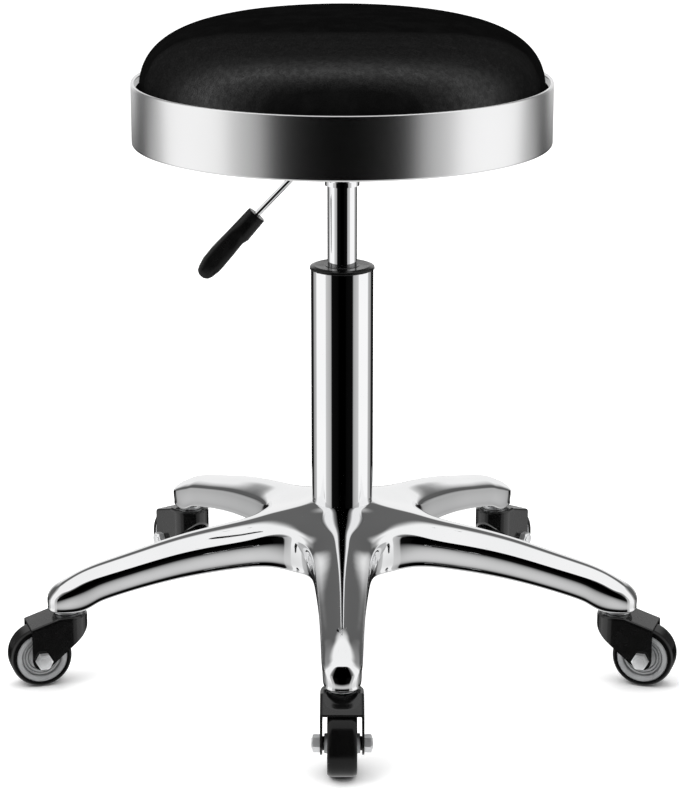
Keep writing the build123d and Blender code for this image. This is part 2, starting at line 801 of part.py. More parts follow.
# Caster stems: shank in the arm, flange, neck through the fork and riveted head
neck_foot_z = fork_top_z - fork_sheet - 2 * swivel_ball_radius - 2 * free_gap
with BuildPart() as caster_stems:
    with BuildSketch(Plane.XY.offset(arm_foot_z - stem_flange_height)):
        with PolarLocations(reach, arm_count, start_angle=-90):
            Circle(stem_flange_radius)
    extrude(amount=stem_flange_height)
    with BuildSketch(Plane.XY.offset(arm_foot_z)):
        with PolarLocations(reach, arm_count, start_angle=-90):
            Circle(stem_radius)
    extrude(amount=stem_length)
    with BuildSketch(Plane.XY.offset(neck_foot_z)):
        with PolarLocations(reach, arm_count, start_angle=-90):
            Circle(stem_neck_radius)
    extrude(amount=arm_foot_z - stem_flange_height - neck_foot_z)
    with BuildSketch(Plane.XY.offset(neck_foot_z - stem_head_height)):
        with PolarLocations(reach, arm_count, start_angle=-90):
            Circle(stem_head_radius)
    extrude(amount=stem_head_height)
export(caster_stems, "caster_stems")

with BuildPart() as swivel_balls:
    ball_z = neck_foot_z + free_gap + swivel_ball_radius
    with PolarLocations(reach, arm_count, start_angle=-90):
        with PolarLocations((stem_neck_radius + stem_head_radius) / 2, swivel_ball_count):
            with Locations((0, 0, ball_z)):
                Sphere(swivel_ball_radius)
export(swivel_balls, "swivel_balls")


def draw_fork_side():
    """Side outline of a fork, from its stem: crown, lip, axle boss and sloping skirt."""
    back_x = -fork_half
    lip_x = caster_trail + axle_boss_radius
    skirt_z = fork_top_z - skirt_side_drop
    back_z = fork_top_z - skirt_back_drop
    span = ((skirt_z - axle_z) ** 2 + caster_trail**2) ** 0.5
    touch = atan2(skirt_z - axle_z, -caster_trail) + acos(axle_boss_radius / span)
    low = touch / 2 + radians(180)
    crown = Polyline(
        (back_x, back_z),
        (back_x, fork_top_z),
        (fork_crown_length, fork_top_z),
        (lip_x, fork_lip_z),
        (lip_x, axle_z),
    )
    boss = ThreePointArc(
        crown @ 1,
        (caster_trail + axle_boss_radius * cos(low), axle_z + axle_boss_radius * sin(low)),
        (caster_trail + axle_boss_radius * cos(touch), axle_z + axle_boss_radius * sin(touch)),
    )
    skirt = Line(boss @ 1, (0, skirt_z))
    Spline(skirt @ 1, crown @ 0, tangents=[skirt % 1, (-0.5, 1)])


def draw_fork_plan(half):
    """Plan of a fork: round behind the stem, open and parallel towards the wheel."""
    length = caster_trail + axle_boss_radius + fork_sheet
    Circle(half)
    with Locations((length / 2, 0)):
        Rectangle(length, 2 * half)


def off_centre(plane, edge):
    """Whether an edge's middle stands more than a millimetre off a plane."""
    return abs(plane.to_local_coords(edge.center()).Z) > 1


def draw_wheel_face():
    """Section of a wheel hub, from one nave face across to the other."""
    rim_half = wheel_width / 2 - rim_bevel
    rim_bore = rim_radius - rim_depth
    face = [
        (nave_half, sleeve_radius + running_fit),
        (nave_half, nave_radius),
        (web_half, nave_radius + 1),
        (rim_half - web_dish, rim_bore - 1),
        (rim_half - web_dish - 1, rim_bore - 0.5),
        (rim_half, rim_bore),
        (rim_half, rim_radius - rim_bevel),
        (wheel_width / 2, rim_radius),
    ]
    other_face = [(-across, out) for across, out in reversed(face)]
    Polyline(*face, *other_face, close=True)


# Casters: each fork swivels on its stem, and its wheel turns on a clamped sleeve
for number, azimuth in enumerate(azimuths, start=1):
    side_plane = arm_side_plane(azimuth, reach)
    plan_plane = arm_plan_plane(azimuth, reach)
    section_plane = axle_section_plane(azimuth)
    axle_line = Axis(section_plane.origin, section_plane.x_dir)
    axle_plane = Plane(origin=section_plane.origin, z_dir=section_plane.x_dir)

    with BuildPart() as fork_hollow:
        far_x = caster_trail + axle_boss_radius + fork_sheet
        slope = (fork_top_z - fork_lip_z) / (far_x - fork_sheet - fork_crown_length)
        with BuildSketch(side_plane):
            with BuildLine():
                Polyline(
                    (-fork_half, -1),
                    (-fork_half, fork_top_z - fork_sheet),
                    (fork_crown_length, fork_top_z - fork_sheet),
                    (far_x, fork_top_z - fork_sheet - slope * (far_x - fork_crown_length)),
                    (far_x, -1),
                    close=True,
                )
            make_face()
        extrude(amount=fork_bore_half, both=True)
        with BuildSketch(plan_plane.offset(-1)):
            draw_fork_plan(fork_bore_half)
        extrude(amount=fork_top_z, mode=Mode.INTERSECT)

    with BuildPart() as caster_fork:
        with BuildSketch(side_plane):
            with BuildLine():
                draw_fork_side()
            make_face()
        extrude(amount=fork_half, both=True)
        with BuildSketch(plan_plane):
            draw_fork_plan(fork_half)
        extrude(amount=fork_top_z + 1, mode=Mode.INTERSECT)
        crown_rim = [
            edge
            for edge in caster_fork.edges()
            if edge.center().Z > fork_lip_z - 1
            and (edge.geom_type == GeomType.CIRCLE or off_centre(side_plane, edge))
        ]
        fillet(crown_rim, radius=fork_bend)
        add(fork_hollow.part, mode=Mode.SUBTRACT)
        with BuildSketch(plan_plane.offset(fork_top_z)):
            Circle(stem_neck_radius + running_fit)
        extrude(amount=-2 * fork_sheet, mode=Mode.SUBTRACT)
        with BuildSketch(axle_plane):
            Circle(axle_radius)
        extrude(amount=fork_half + 1, both=True, mode=Mode.SUBTRACT)
    export(caster_fork, f"caster_fork_{number}")

    with BuildPart() as axle_bolt:
        with BuildSketch(axle_plane.offset(fork_half)):
            RegularPolygon(axle_hex / 2, 6, major_radius=False)
        extrude(amount=axle_head_height)
        with BuildSketch(axle_plane.offset(fork_half + axle_head_height)):
            Circle(axle_face_radius)
        extrude(amount=axle_face_height)
        with BuildSketch(axle_plane.offset(fork_half)):
            Circle(axle_radius)
        extrude(amount=-2 * fork_half - axle_head_height - axle_face_height)
    export(axle_bolt, f"axle_bolt_{number}")

    with BuildPart() as axle_nut:
        with BuildSketch(axle_plane.offset(-fork_half)):
            RegularPolygon(axle_hex / 2, 6, major_radius=False)
            Circle(axle_radius, mode=Mode.SUBTRACT)
        extrude(amount=-axle_head_height)
    export(axle_nut, f"axle_nut_{number}")

    with BuildPart() as axle_sleeve:
        with BuildSketch(axle_plane.offset(-fork_bore_half)):
            Circle(sleeve_radius)
            Circle(axle_radius, mode=Mode.SUBTRACT)
        extrude(amount=2 * fork_bore_half)
    export(axle_sleeve, f"axle_sleeve_{number}")

    with BuildPart() as wheel_tread:
        with BuildSketch(section_plane):
            with Locations((0, wheel_radius - tread_depth / 2)):
                Rectangle(wheel_width, tread_depth)
        revolve(axis=axle_line)
        tread_edges = wheel_tread.edges().filter_by(GeomType.CIRCLE).sort_by(SortBy.RADIUS)
        fillet(tread_edges[-2:], radius=min(tread_corner, 0.9 * tread_depth))
    export(wheel_tread, f"wheel_tread_{number}")

    with BuildPart() as wheel_hub:
        with BuildSketch(section_plane):
            with BuildLine():
                draw_wheel_face()
            make_face()
        revolve(axis=axle_line)
    export(wheel_hub, f"wheel_hub_{number}")
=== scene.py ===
import bpy
import bmesh
import random
from math import cos, pi, radians, sin, tan
from mathutils import Matrix, Vector


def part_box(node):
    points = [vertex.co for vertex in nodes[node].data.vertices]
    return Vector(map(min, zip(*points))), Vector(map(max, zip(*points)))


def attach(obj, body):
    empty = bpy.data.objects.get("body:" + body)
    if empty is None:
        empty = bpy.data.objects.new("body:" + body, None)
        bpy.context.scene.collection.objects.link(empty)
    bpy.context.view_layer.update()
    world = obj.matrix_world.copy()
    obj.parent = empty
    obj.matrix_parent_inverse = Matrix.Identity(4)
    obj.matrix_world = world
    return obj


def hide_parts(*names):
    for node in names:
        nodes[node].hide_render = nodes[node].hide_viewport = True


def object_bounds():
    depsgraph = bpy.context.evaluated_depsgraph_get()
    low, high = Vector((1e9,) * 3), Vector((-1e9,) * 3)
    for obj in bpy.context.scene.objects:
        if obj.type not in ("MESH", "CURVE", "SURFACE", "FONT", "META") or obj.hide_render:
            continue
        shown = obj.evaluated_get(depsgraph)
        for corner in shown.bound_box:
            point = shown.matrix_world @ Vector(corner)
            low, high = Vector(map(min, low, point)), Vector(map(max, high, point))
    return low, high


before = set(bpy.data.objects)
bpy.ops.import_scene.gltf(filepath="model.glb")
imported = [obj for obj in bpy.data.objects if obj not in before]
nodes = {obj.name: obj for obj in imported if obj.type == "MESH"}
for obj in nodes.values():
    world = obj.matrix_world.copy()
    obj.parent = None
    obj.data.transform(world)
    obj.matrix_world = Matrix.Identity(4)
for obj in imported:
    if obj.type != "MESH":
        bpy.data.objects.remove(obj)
cadLow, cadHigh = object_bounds()
random.seed(11)
casterNumbers = range(1, 6)
up = Vector((0, 0, 1))
print("frame loaded with", len(nodes), "parts")


# camera, backdrop and lamps

studio = {
    "cameraBack": 2.0384, "cameraUp": 0.8152, "cameraTilt": 73.78,
    "lens": 117.42, "shift": -0.0034,
    "floorSize": 14.0, "floorSteps": 8, "floorGlow": 0.62, "contactReach": 0.05,
    "floorColour": (0.90, 0.90, 0.90, 1),
    "keyPower": 26, "fillPower": 12, "backPower": 14, "lampSize": 1.8, "lampAim": (0, 0, 0.2),
}


def addCamera():
    camera = bpy.data.objects.new("studioCamera", bpy.data.cameras.new("studioCamera"))
    bpy.context.scene.collection.objects.link(camera)
    camera.location = (0, -studio["cameraBack"], studio["cameraUp"])
    camera.rotation_euler = (radians(studio["cameraTilt"]), 0, 0)
    camera.data.sensor_width = 36
    camera.data.lens = studio["lens"]
    camera.data.shift_x = studio["shift"]
    bpy.context.scene.camera = camera


def addLamp(name, place, power):
    lamp = bpy.data.lights.new(name, "AREA")
    lamp.shape = "DISK"
    lamp.size = studio["lampSize"]
    lamp.energy = power
    holder = bpy.data.objects.new(name, lamp)
    bpy.context.scene.collection.objects.link(holder)
    holder.location = place
    aim = Vector(studio["lampAim"]) - Vector(place)
    holder.rotation_euler = aim.to_track_quat("-Z", "Y").to_euler()
    holder.visible_glossy = False  # the bright metal mirrors the softboxes of the world only


def link(tree, start, end):
    tree.links.new(start, end)


def mathNode(tree, operation, first, second=None, third=None):
    node = tree.nodes.new("ShaderNodeMath")
    node.operation = operation
    for socket, value in zip(node.inputs, (first, second, third)):
        if value is None:
            continue
        if isinstance(value, (int, float)):
            socket.default_value = value
        else:
            link(tree, value, socket)
    return node.outputs[0]


def mapRange(tree, value, fromLow, fromHigh, toLow=0.0, toHigh=1.0, smooth=True):
    node = tree.nodes.new("ShaderNodeMapRange")
    node.interpolation_type = "SMOOTHSTEP" if smooth else "LINEAR"
    link(tree, value, node.inputs["Value"])
    limits = {"From Min": fromLow, "From Max": fromHigh, "To Min": toLow, "To Max": toHigh}
    for socket, number in limits.items():
        node.inputs[socket].default_value = number
    return node.outputs["Result"]


def mixNode(tree, factor, first, second):
    node = tree.nodes.new("ShaderNodeMix")
    node.data_type = "RGBA"
    ends = [socket for socket in node.inputs if socket.type == "RGBA"]
    for socket, value in ((node.inputs[0], factor), (ends[0], first), (ends[1], second)):
        if isinstance(value, (int, float, tuple)):
            socket.default_value = value
        else:
            link(tree, value, socket)
    return [socket for socket in node.outputs if socket.enabled][0]


def ramp(tree, value, stops):
    node = tree.nodes.new("ShaderNodeValToRGB")
    elements = node.color_ramp.elements
    while len(elements) < len(stops):
        elements.new(0.5)
    for element, (place, grey) in zip(elements, stops):
        element.position = place
        element.color = (grey, grey, grey, 1) if isinstance(grey, (int, float)) else grey
    link(tree, value, node.inputs[0])
    return node.outputs["Color"]


softboxes = {  # brightness round the stool, by degrees away from the front
    "level": ((0, 0.0), (12, 0.0), (15, 0.002), (39, 0.004), (43, 0.42), (62, 0.60), (65, 1.0), (109, 1.0),
              (113, 0.5), (130, 0.35), (134, 0.01), (180, 0.01)),
    "card": ((0, 0.0), (12, 0.0), (15, 0.002), (39, 0.004), (43, 0.42), (62, 0.60), (65, 1.0), (109, 1.0),
             (118, 0.42), (128, 0.10), (142, 0.12), (154, 0.95), (180, 0.95)),
    "above": ((0, 0.0), (34, 0.0), (52, 0.25), (66, 1.0), (107, 1.0), (120, 0.40), (136, 0.12), (180, 0.14)),
    "floorTone": 0.72,
    "strip": (73, 76, 118, 132),  # a long softbox overhead, by degrees up from the front and over
    "stripEnds": (0.80, 0.55),
}


def buildWorld():
    world = bpy.data.worlds.new("studioWorld")
    bpy.context.scene.world = world
    world.use_nodes = True
    tree = world.node_tree
    background = tree.nodes["Background"]
    way = tree.nodes.new("ShaderNodeTexCoord")
    split = tree.nodes.new("ShaderNodeSeparateXYZ")
    link(tree, way.outputs["Generated"], split.inputs[0])
    across = mathNode(tree, "ABSOLUTE", split.outputs[0])
    front = mathNode(tree, "MULTIPLY", split.outputs[1], -1)
    turn = mathNode(tree, "DIVIDE", mathNode(tree, "ARCTAN2", across, front), pi)
    lift = mathNode(tree, "MULTIPLY", mathNode(tree, "ARCSINE", split.outputs[2]), 180 / pi)
    bands = {}
    for name in ("level", "card", "above"):
        bands[name] = ramp(tree, turn, [(degrees / 180, grey) for degrees, grey in softboxes[name]])
    tone = mixNode(tree, mapRange(tree, lift, -12, -8), bands["level"], bands["card"])
    tone = mixNode(tree, mapRange(tree, lift, 19, 28), tone, bands["above"])
    over = mathNode(tree, "MULTIPLY", mathNode(tree, "ARCTAN2", split.outputs[2], front), 180 / pi)
    near, full, fading, far = softboxes["strip"]
    strip = mathNode(tree, "MULTIPLY", mapRange(tree, over, near, full), mapRange(tree, over, far, fading))
    strip = mathNode(tree, "MULTIPLY", strip, mapRange(tree, across, *softboxes["stripEnds"]))
    tone = mixNode(tree, strip, tone, (1, 1, 1, 1))
    floorTone = softboxes["floorTone"]
    tone = mixNode(tree, mapRange(tree, lift, -19, -39), tone, (floorTone, floorTone, floorTone, 1))
    path = tree.nodes.new("ShaderNodeLightPath")
    tone = mixNode(tree, path.outputs["Is Camera Ray"], tone, (1, 1, 1, 1))
    link(tree, tone, background.inputs["Color"])


# Pale paint that lights itself, but less where something stands close, for soft contact shadows
def makeFloorPaint():
    paint = bpy.data.materials.new("floorPaint")
    paint.use_nodes = True
    tree = paint.node_tree
    shader = tree.nodes["Principled BSDF"]
    shader.inputs["Base Color"].default_value = studio["floorColour"]
    shader.inputs["Roughness"].default_value = 0.9
    shader.inputs["Specular IOR Level"].default_value = 0.0
    shader.inputs["Emission Color"].default_value = (1, 1, 1, 1)
    near = tree.nodes.new("ShaderNodeAmbientOcclusion")
    near.inputs["Distance"].default_value = studio["contactReach"]
    near.samples = 8
    glow = mapRange(tree, near.outputs["AO"], 0.25, 1.0, 0.0, studio["floorGlow"], smooth=False)
    link(tree, glow, shader.inputs["Emission Strength"])
    return paint


def addFloor():
    size = studio["floorSize"]
    steps = studio["floorSteps"]
    points = [(size * (i / steps - 0.5), size * (j / steps - 0.5), cadLow.z)
              for i in range(steps + 1) for j in range(steps + 1)]
    row = steps + 1
    faces = [(i * row + j, (i + 1) * row + j, (i + 1) * row + j + 1, i * row + j + 1)
             for i in range(steps) for j in range(steps)]
    mesh = bpy.data.meshes.new("studioFloor")
    mesh.from_pydata(points, [], faces)
    floor = bpy.data.objects.new("studioFloor", mesh)
    bpy.context.scene.collection.objects.link(floor)
    floor.visible_glossy = False
    mesh.materials.append(makeFloorPaint())


addCamera()
buildWorld()
addFloor()
addLamp("keyLamp", (-1.5, -0.9, 1.9), studio["keyPower"])
addLamp("fillLamp", (1.7, -1.4, 1.8), studio["fillPower"])
addLamp("backLamp", (0.2, 2.0, 2.2), studio["backPower"])
bpy.context.scene.view_settings.view_transform = "Standard"
print("studio set up")


# shared effects

def startGroup(name, inputs, outputs):
    group = bpy.data.node_groups.new(name, "ShaderNodeTree")
    for label, kind, value in inputs:
        socket = group.interface.new_socket(label, in_out="INPUT", socket_type="NodeSocket" + kind)
        if value is not None:
            socket.default_value = value
    for label, kind in outputs:
        group.interface.new_socket(label, in_out="OUTPUT", socket_type="NodeSocket" + kind)
    return group, group.nodes.new("NodeGroupInput"), group.nodes.new("NodeGroupOutput")


def noiseNode(tree, vector, scale, detail=3.0, roughness=0.5):
    node = tree.nodes.new("ShaderNodeTexNoise")
    node.inputs["Detail"].default_value = detail
    node.inputs["Roughness"].default_value = roughness
    if isinstance(scale, (int, float)):
        node.inputs["Scale"].default_value = scale
    else:
        link(tree, scale, node.inputs["Scale"])
    link(tree, vector, node.inputs["Vector"])
    return node.outputs[0]


# Faint smears and fingermarks that change a polished surface's roughness
def buildHandling():
    group, given, out = startGroup(
        "handling",
        [("Clean", "Float", 0.04), ("Smeared", "Float", 0.12), ("Scale", "Float", 18.0)],
        [("Roughness", "Float")],
    )
    place = group.nodes.new("ShaderNodeTexCoord").outputs["Object"]
    broad = noiseNode(group, place, given.outputs["Scale"], 4, 0.6)
    fine = noiseNode(group, place, 160, 2)
    mask = mapRange(group, broad, 0.48, 0.78)
    mask = mathNode(group, "MULTIPLY", mask, mapRange(group, fine, 0.3, 0.7, 0.5, 1.0))
    spread = mathNode(group, "SUBTRACT", given.outputs["Smeared"], given.outputs["Clean"])
    link(group, mathNode(group, "MULTIPLY_ADD", mask, spread, given.outputs["Clean"]), out.inputs[0])
    return group


# Fine random grain, as height, for moulded and painted surfaces
def buildGrain():
    group, given, out = startGroup(
        "grain", [("Scale", "Float", 900.0), ("Mottle", "Float", 0.3)],
        [("Height", "Float"), ("Mask", "Float")],
    )
    place = group.nodes.new("ShaderNodeTexCoord").outputs["Object"]
    fine = noiseNode(group, place, given.outputs["Scale"], 2, 0.5)
    broad = noiseNode(group, place, mathNode(group, "MULTIPLY", given.outputs["Scale"], 0.07), 3, 0.6)
    height = mathNode(group, "MULTIPLY_ADD", broad, given.outputs["Mottle"], fine)
    link(group, height, out.inputs["Height"])
    link(group, mapRange(group, broad, 0.35, 0.7), out.inputs["Mask"])
    return group


# Thin dust that settles on faces turned upward and in mottled patches
def buildDust():
    group, given, out = startGroup(
        "dust", [("Amount", "Float", 0.1), ("Scale", "Float", 60.0)], [("Mask", "Float")],
    )
    shape = group.nodes.new("ShaderNodeNewGeometry")
    split = group.nodes.new("ShaderNodeSeparateXYZ")
    link(group, shape.outputs["Normal"], split.inputs[0])
    upward = mapRange(group, split.outputs[2], 0.1, 1.0, 0.25, 1.0)
    place = group.nodes.new("ShaderNodeTexCoord").outputs["Object"]
    patches = mapRange(group, noiseNode(group, place, given.outputs["Scale"], 5, 0.7), 0.35, 0.75)
    mask = mathNode(group, "MULTIPLY", mathNode(group, "MULTIPLY", upward, patches), given.outputs["Amount"])
    link(group, mask, out.inputs[0])
    return group


# Fine lines that run round the Z axis, from polishing or turning
def buildLines():
    group, given, out = startGroup(
        "polishLines", [("Scale", "Float", 900.0)], [("Height", "Float")],
    )
    place = group.nodes.new("ShaderNodeTexCoord").outputs["Object"]
    split = group.nodes.new("ShaderNodeSeparateXYZ")
    link(group, place, split.inputs[0])
    turn = mathNode(group, "ARCTAN2", split.outputs[1], split.outputs[0])
    joined = group.nodes.new("ShaderNodeCombineXYZ")
    link(group, mathNode(group, "MULTIPLY", turn, 0.004), joined.inputs[0])
    link(group, split.outputs[2], joined.inputs[2])
    link(group, noiseNode(group, joined.outputs[0], given.outputs["Scale"], 3, 0.6), out.inputs[0])
    return group


effects = {
    "handling": buildHandling(),
    "grain": buildGrain(),
    "dust": buildDust(),
    "polishLines": buildLines(),
}
print("shared effects built")


# finishes

finishes = {}


def startFinish(slot, **sockets):
    material = bpy.data.materials.new(slot + "_finish")
    material.use_nodes = True
    shader = material.node_tree.nodes["Principled BSDF"]
    names = {
        "colour": "Base Color", "metallic": "Metallic", "roughness": "Roughness", "coat": "Coat Weight",
        "coatRoughness": "Coat Roughness", "specular": "Specular IOR Level", "sheen": "Sheen Weight",
        "sheenRoughness": "Sheen Roughness", "anisotropic": "Anisotropic", "ior": "IOR",
    }
    for key, value in sockets.items():
        shader.inputs[names[key]].default_value = (*value, 1) if key == "colour" else value
    finishes[slot] = material
    return material.node_tree, shader


def useEffect(tree, name, **given):
    node = tree.nodes.new("ShaderNodeGroup")
    node.node_tree = effects[name]
    for key, value in given.items():
        node.inputs[key].default_value = value
    return node


def addBump(tree, shader, height, distance, strength=1.0):
    bump = tree.nodes.new("ShaderNodeBump")
    bump.inputs["Strength"].default_value = strength
    bump.inputs["Distance"].default_value = distance
    link(tree, height, bump.inputs["Height"])
    link(tree, bump.outputs[0], shader.inputs["Normal"])


def makeAluminium():
    tree, shader = startFinish("polished_aluminium", metallic=1.0)
    marks = useEffect(tree, "handling", Clean=0.045, Smeared=0.10, Scale=14.0)
    link(tree, marks.outputs[0], shader.inputs["Roughness"])
    place = tree.nodes.new("ShaderNodeTexCoord").outputs["Object"]
    tint = noiseNode(tree, place, 9, 3)
    link(tree, ramp(tree, tint, ((0.3, (0.84, 0.845, 0.85, 1)), (0.7, (0.90, 0.90, 0.905, 1)))),
         shader.inputs["Base Color"])
    addBump(tree, shader, noiseNode(tree, place, 26, 2), 0.0012, 0.10)


def makeChrome():
    tree, shader = startFinish("chrome_plate", metallic=1.0)
    marks = useEffect(tree, "handling", Clean=0.025, Smeared=0.07, Scale=22.0)
    link(tree, marks.outputs[0], shader.inputs["Roughness"])
    place = tree.nodes.new("ShaderNodeTexCoord").outputs["Object"]
    tint = noiseNode(tree, place, 12, 2)
    link(tree, ramp(tree, tint, ((0.3, (0.90, 0.905, 0.915, 1)), (0.7, (0.94, 0.94, 0.945, 1)))),
         shader.inputs["Base Color"])


def makeStainless():
    tree, shader = startFinish("polished_stainless", metallic=1.0, anisotropic=0.85)
    around = tree.nodes.new("ShaderNodeTangent")
    around.direction_type = "RADIAL"
    around.axis = "Z"
    link(tree, around.outputs[0], shader.inputs["Tangent"])
    marks = useEffect(tree, "handling", Clean=0.185, Smeared=0.205, Scale=10.0)
    link(tree, marks.outputs[0], shader.inputs["Roughness"])
    place = tree.nodes.new("ShaderNodeTexCoord").outputs["Object"]
    tint = noiseNode(tree, place, 7, 3)
    link(tree, ramp(tree, tint, ((0.3, (0.89, 0.89, 0.89, 1)), (0.7, (0.93, 0.93, 0.935, 1)))),
         shader.inputs["Base Color"])
    addBump(tree, shader, useEffect(tree, "polishLines", Scale=1400.0).outputs[0], 0.00002, 0.4)


def makeZinc():
    tree, shader = startFinish("zinc_steel", metallic=0.65)
    marks = useEffect(tree, "handling", Clean=0.34, Smeared=0.42, Scale=80.0)
    link(tree, marks.outputs[0], shader.inputs["Roughness"])
    place = tree.nodes.new("ShaderNodeTexCoord").outputs["Object"]
    spangle = noiseNode(tree, place, 240, 3, 0.7)
    link(tree, ramp(tree, spangle, ((0.3, (0.80, 0.81, 0.82, 1)), (0.7, (0.92, 0.925, 0.93, 1)))),
         shader.inputs["Base Color"])
    addBump(tree, shader, spangle, 0.0001, 0.3)


def makeGroundSteel():
    tree, shader = startFinish("ground_steel", metallic=1.0, colour=(0.66, 0.67, 0.69))
    marks = useEffect(tree, "handling", Clean=0.12, Smeared=0.22, Scale=60.0)
    link(tree, marks.outputs[0], shader.inputs["Roughness"])
    addBump(tree, shader, useEffect(tree, "polishLines", Scale=2500.0).outputs[0], 0.00003, 0.5)


def makeEnamel():
    tree, shader = startFinish("black_enamel", coat=0.9, coatRoughness=0.05, specular=0.12)
    grain = useEffect(tree, "grain", Scale=1500.0, Mottle=0.2)
    dust = useEffect(tree, "dust", Amount=0.004, Scale=90.0)
    colour = mixNode(tree, grain.outputs["Mask"], (0.0028, 0.0028, 0.0028, 1), (0.0040, 0.0040, 0.0040, 1))
    link(tree, mixNode(tree, dust.outputs[0], colour, (0.30, 0.29, 0.27, 1)), shader.inputs["Base Color"])
    link(tree, mapRange(tree, grain.outputs["Mask"], 0, 1, 0.24, 0.28), shader.inputs["Roughness"])
    addBump(tree, shader, grain.outputs["Height"], 0.00001, 0.2)


plastics = {  # darker and lighter colour, roughness, grain scale and depth
    "black_plastic": ((0.0035, 0.0035, 0.0035, 1), (0.0050, 0.0050, 0.0050, 1), 0.22, 1300.0, 0.00001),
    "white_nylon": ((0.74, 0.74, 0.71, 1), (0.82, 0.82, 0.80, 1), 0.42, 800.0, 0.00004),
    "wheel_grey": ((0.36, 0.365, 0.37, 1), (0.42, 0.425, 0.43, 1), 0.30, 900.0, 0.00004),
    "black_tread": ((0.0028, 0.0028, 0.0028, 1), (0.0040, 0.0040, 0.0040, 1), 0.12, 600.0, 0.00001),
    "black_rubber": ((0.018, 0.018, 0.018, 1), (0.03, 0.03, 0.03, 1), 0.7, 900.0, 0.0001),
}


def makeMouldedPlastic(slot, dark, light, rough, grainScale, depth):
    tree, shader = startFinish(slot, specular=0.25)
    grain = useEffect(tree, "grain", Scale=grainScale, Mottle=0.6)
    dust = useEffect(tree, "dust", Amount=0.004, Scale=70.0)
    colour = mixNode(tree, grain.outputs["Mask"], dark, light)
    link(tree, mixNode(tree, dust.outputs[0], colour, (0.36, 0.35, 0.33, 1)), shader.inputs["Base Color"])
    link(tree, mapRange(tree, grain.outputs["Mask"], 0, 1, rough - 0.04, rough + 0.06),
         shader.inputs["Roughness"])
    addBump(tree, shader, grain.outputs["Height"], depth, 0.6)


leather = {
    "satin": (  # painted sheen: how strongly the skin mirrors, set by how far it turns away from the eye, so the highlight falls in one band
        (0.0, 0.02), (0.06, 0.03), (0.16, 0.30), (0.25, 0.60), (0.33, 0.36), (0.41, 0.13), (0.49, 0.045),
        (0.57, 0.012), (0.66, 0.003), (0.75, 0.0),
    ),
    "rubScale": 240, "wobble": 0.0016, "wobbleScale": 220, "cellScale": 620, "fineScale": 1400,
    "patchScale": 55, "grainDepth": 0.00015,
}


def makeLeather():
    tree, shader = startFinish("black_leather")
    turned = tree.nodes.new("ShaderNodeLayerWeight").outputs["Facing"]
    # painted highlight: the skin's reflection is turned up in a band of angles to the eye and down elsewhere
    satin = ramp(tree, turned, leather["satin"])
    place = tree.nodes.new("ShaderNodeTexCoord").outputs["Object"]
    rubbed = mapRange(tree, noiseNode(tree, place, leather["rubScale"], 4, 0.7), 0.36, 0.64, 0.72, 1.30)
    link(tree, mathNode(tree, "MULTIPLY", satin, rubbed), shader.inputs["Specular IOR Level"])
    warp = tree.nodes.new("ShaderNodeVectorMath")
    warp.operation = "MULTIPLY_ADD"
    wobble = tree.nodes.new("ShaderNodeTexNoise")
    wobble.inputs["Scale"].default_value = leather["wobbleScale"]
    link(tree, place, wobble.inputs["Vector"])
    link(tree, wobble.outputs["Color"], warp.inputs[0])
    warp.inputs[1].default_value = (leather["wobble"],) * 3
    link(tree, place, warp.inputs[2])
    cells = tree.nodes.new("ShaderNodeTexVoronoi")
    cells.feature = "DISTANCE_TO_EDGE"
    cells.inputs["Scale"].default_value = leather["cellScale"]
    link(tree, warp.outputs[0], cells.inputs["Vector"])
    pebbles = mapRange(tree, cells.outputs["Distance"], 0.0, 0.16)
    fine = noiseNode(tree, place, leather["fineScale"], 2)
    broad = noiseNode(tree, place, leather["patchScale"], 4, 0.65)
    height = mathNode(tree, "MULTIPLY_ADD", fine, 0.25, pebbles)
    addBump(tree, shader, height, leather["grainDepth"], 0.9)
    patches = mapRange(tree, broad, 0.38, 0.68)
    link(tree, mixNode(tree, patches, (0.0040, 0.0040, 0.0040, 1), (0.0058, 0.0058, 0.0058, 1)),
         shader.inputs["Base Color"])
    link(tree, mapRange(tree, broad, 0.36, 0.66, 0.30, 0.44), shader.inputs["Roughness"])


def makeFoam():
    tree, shader = startFinish("foam", roughness=0.95, specular=0.2)
    grain = useEffect(tree, "grain", Scale=700.0, Mottle=0.8)
    link(tree, mixNode(tree, grain.outputs["Mask"], (0.62, 0.55, 0.36, 1), (0.74, 0.68, 0.48, 1)),
         shader.inputs["Base Color"])
    addBump(tree, shader, grain.outputs["Height"], 0.0006, 0.8)


def makePlywood():
    tree, shader = startFinish("plywood", roughness=0.65, specular=0.3)
    place = tree.nodes.new("ShaderNodeTexCoord").outputs["Object"]
    shape = tree.nodes.new("ShaderNodeMapping")
    shape.inputs["Scale"].default_value = (1.0, 9.0, 60.0)
    link(tree, place, shape.inputs["Vector"])
    fibres = noiseNode(tree, shape.outputs[0], 24, 6, 0.7)
    link(tree, ramp(tree, fibres, ((0.25, (0.30, 0.18, 0.09, 1)), (0.55, (0.55, 0.38, 0.22, 1)),
                                   (0.8, (0.68, 0.50, 0.31, 1)))), shader.inputs["Base Color"])
    addBump(tree, shader, fibres, 0.0004, 0.5)


def makeDustCloth():
    tree, shader = startFinish("dust_cloth", specular=0.2, sheen=0.15, sheenRoughness=0.6)
    place = tree.nodes.new("ShaderNodeTexCoord").outputs["Object"]
    threads = []
    for direction in ("X", "Y"):
        wave = tree.nodes.new("ShaderNodeTexWave")
        wave.bands_direction = direction
        wave.inputs["Scale"].default_value = 190
        wave.inputs["Distortion"].default_value = 1.2
        wave.inputs["Detail Scale"].default_value = 3
        link(tree, place, wave.inputs["Vector"])
        threads.append(wave.outputs["Fac"])
    weave = mathNode(tree, "MAXIMUM", threads[0], threads[1])
    link(tree, mixNode(tree, weave, (0.010, 0.010, 0.011, 1), (0.030, 0.030, 0.032, 1)),
         shader.inputs["Base Color"])
    link(tree, mapRange(tree, weave, 0, 1, 0.95, 0.8), shader.inputs["Roughness"])
    addBump(tree, shader, weave, 0.0003, 0.8)


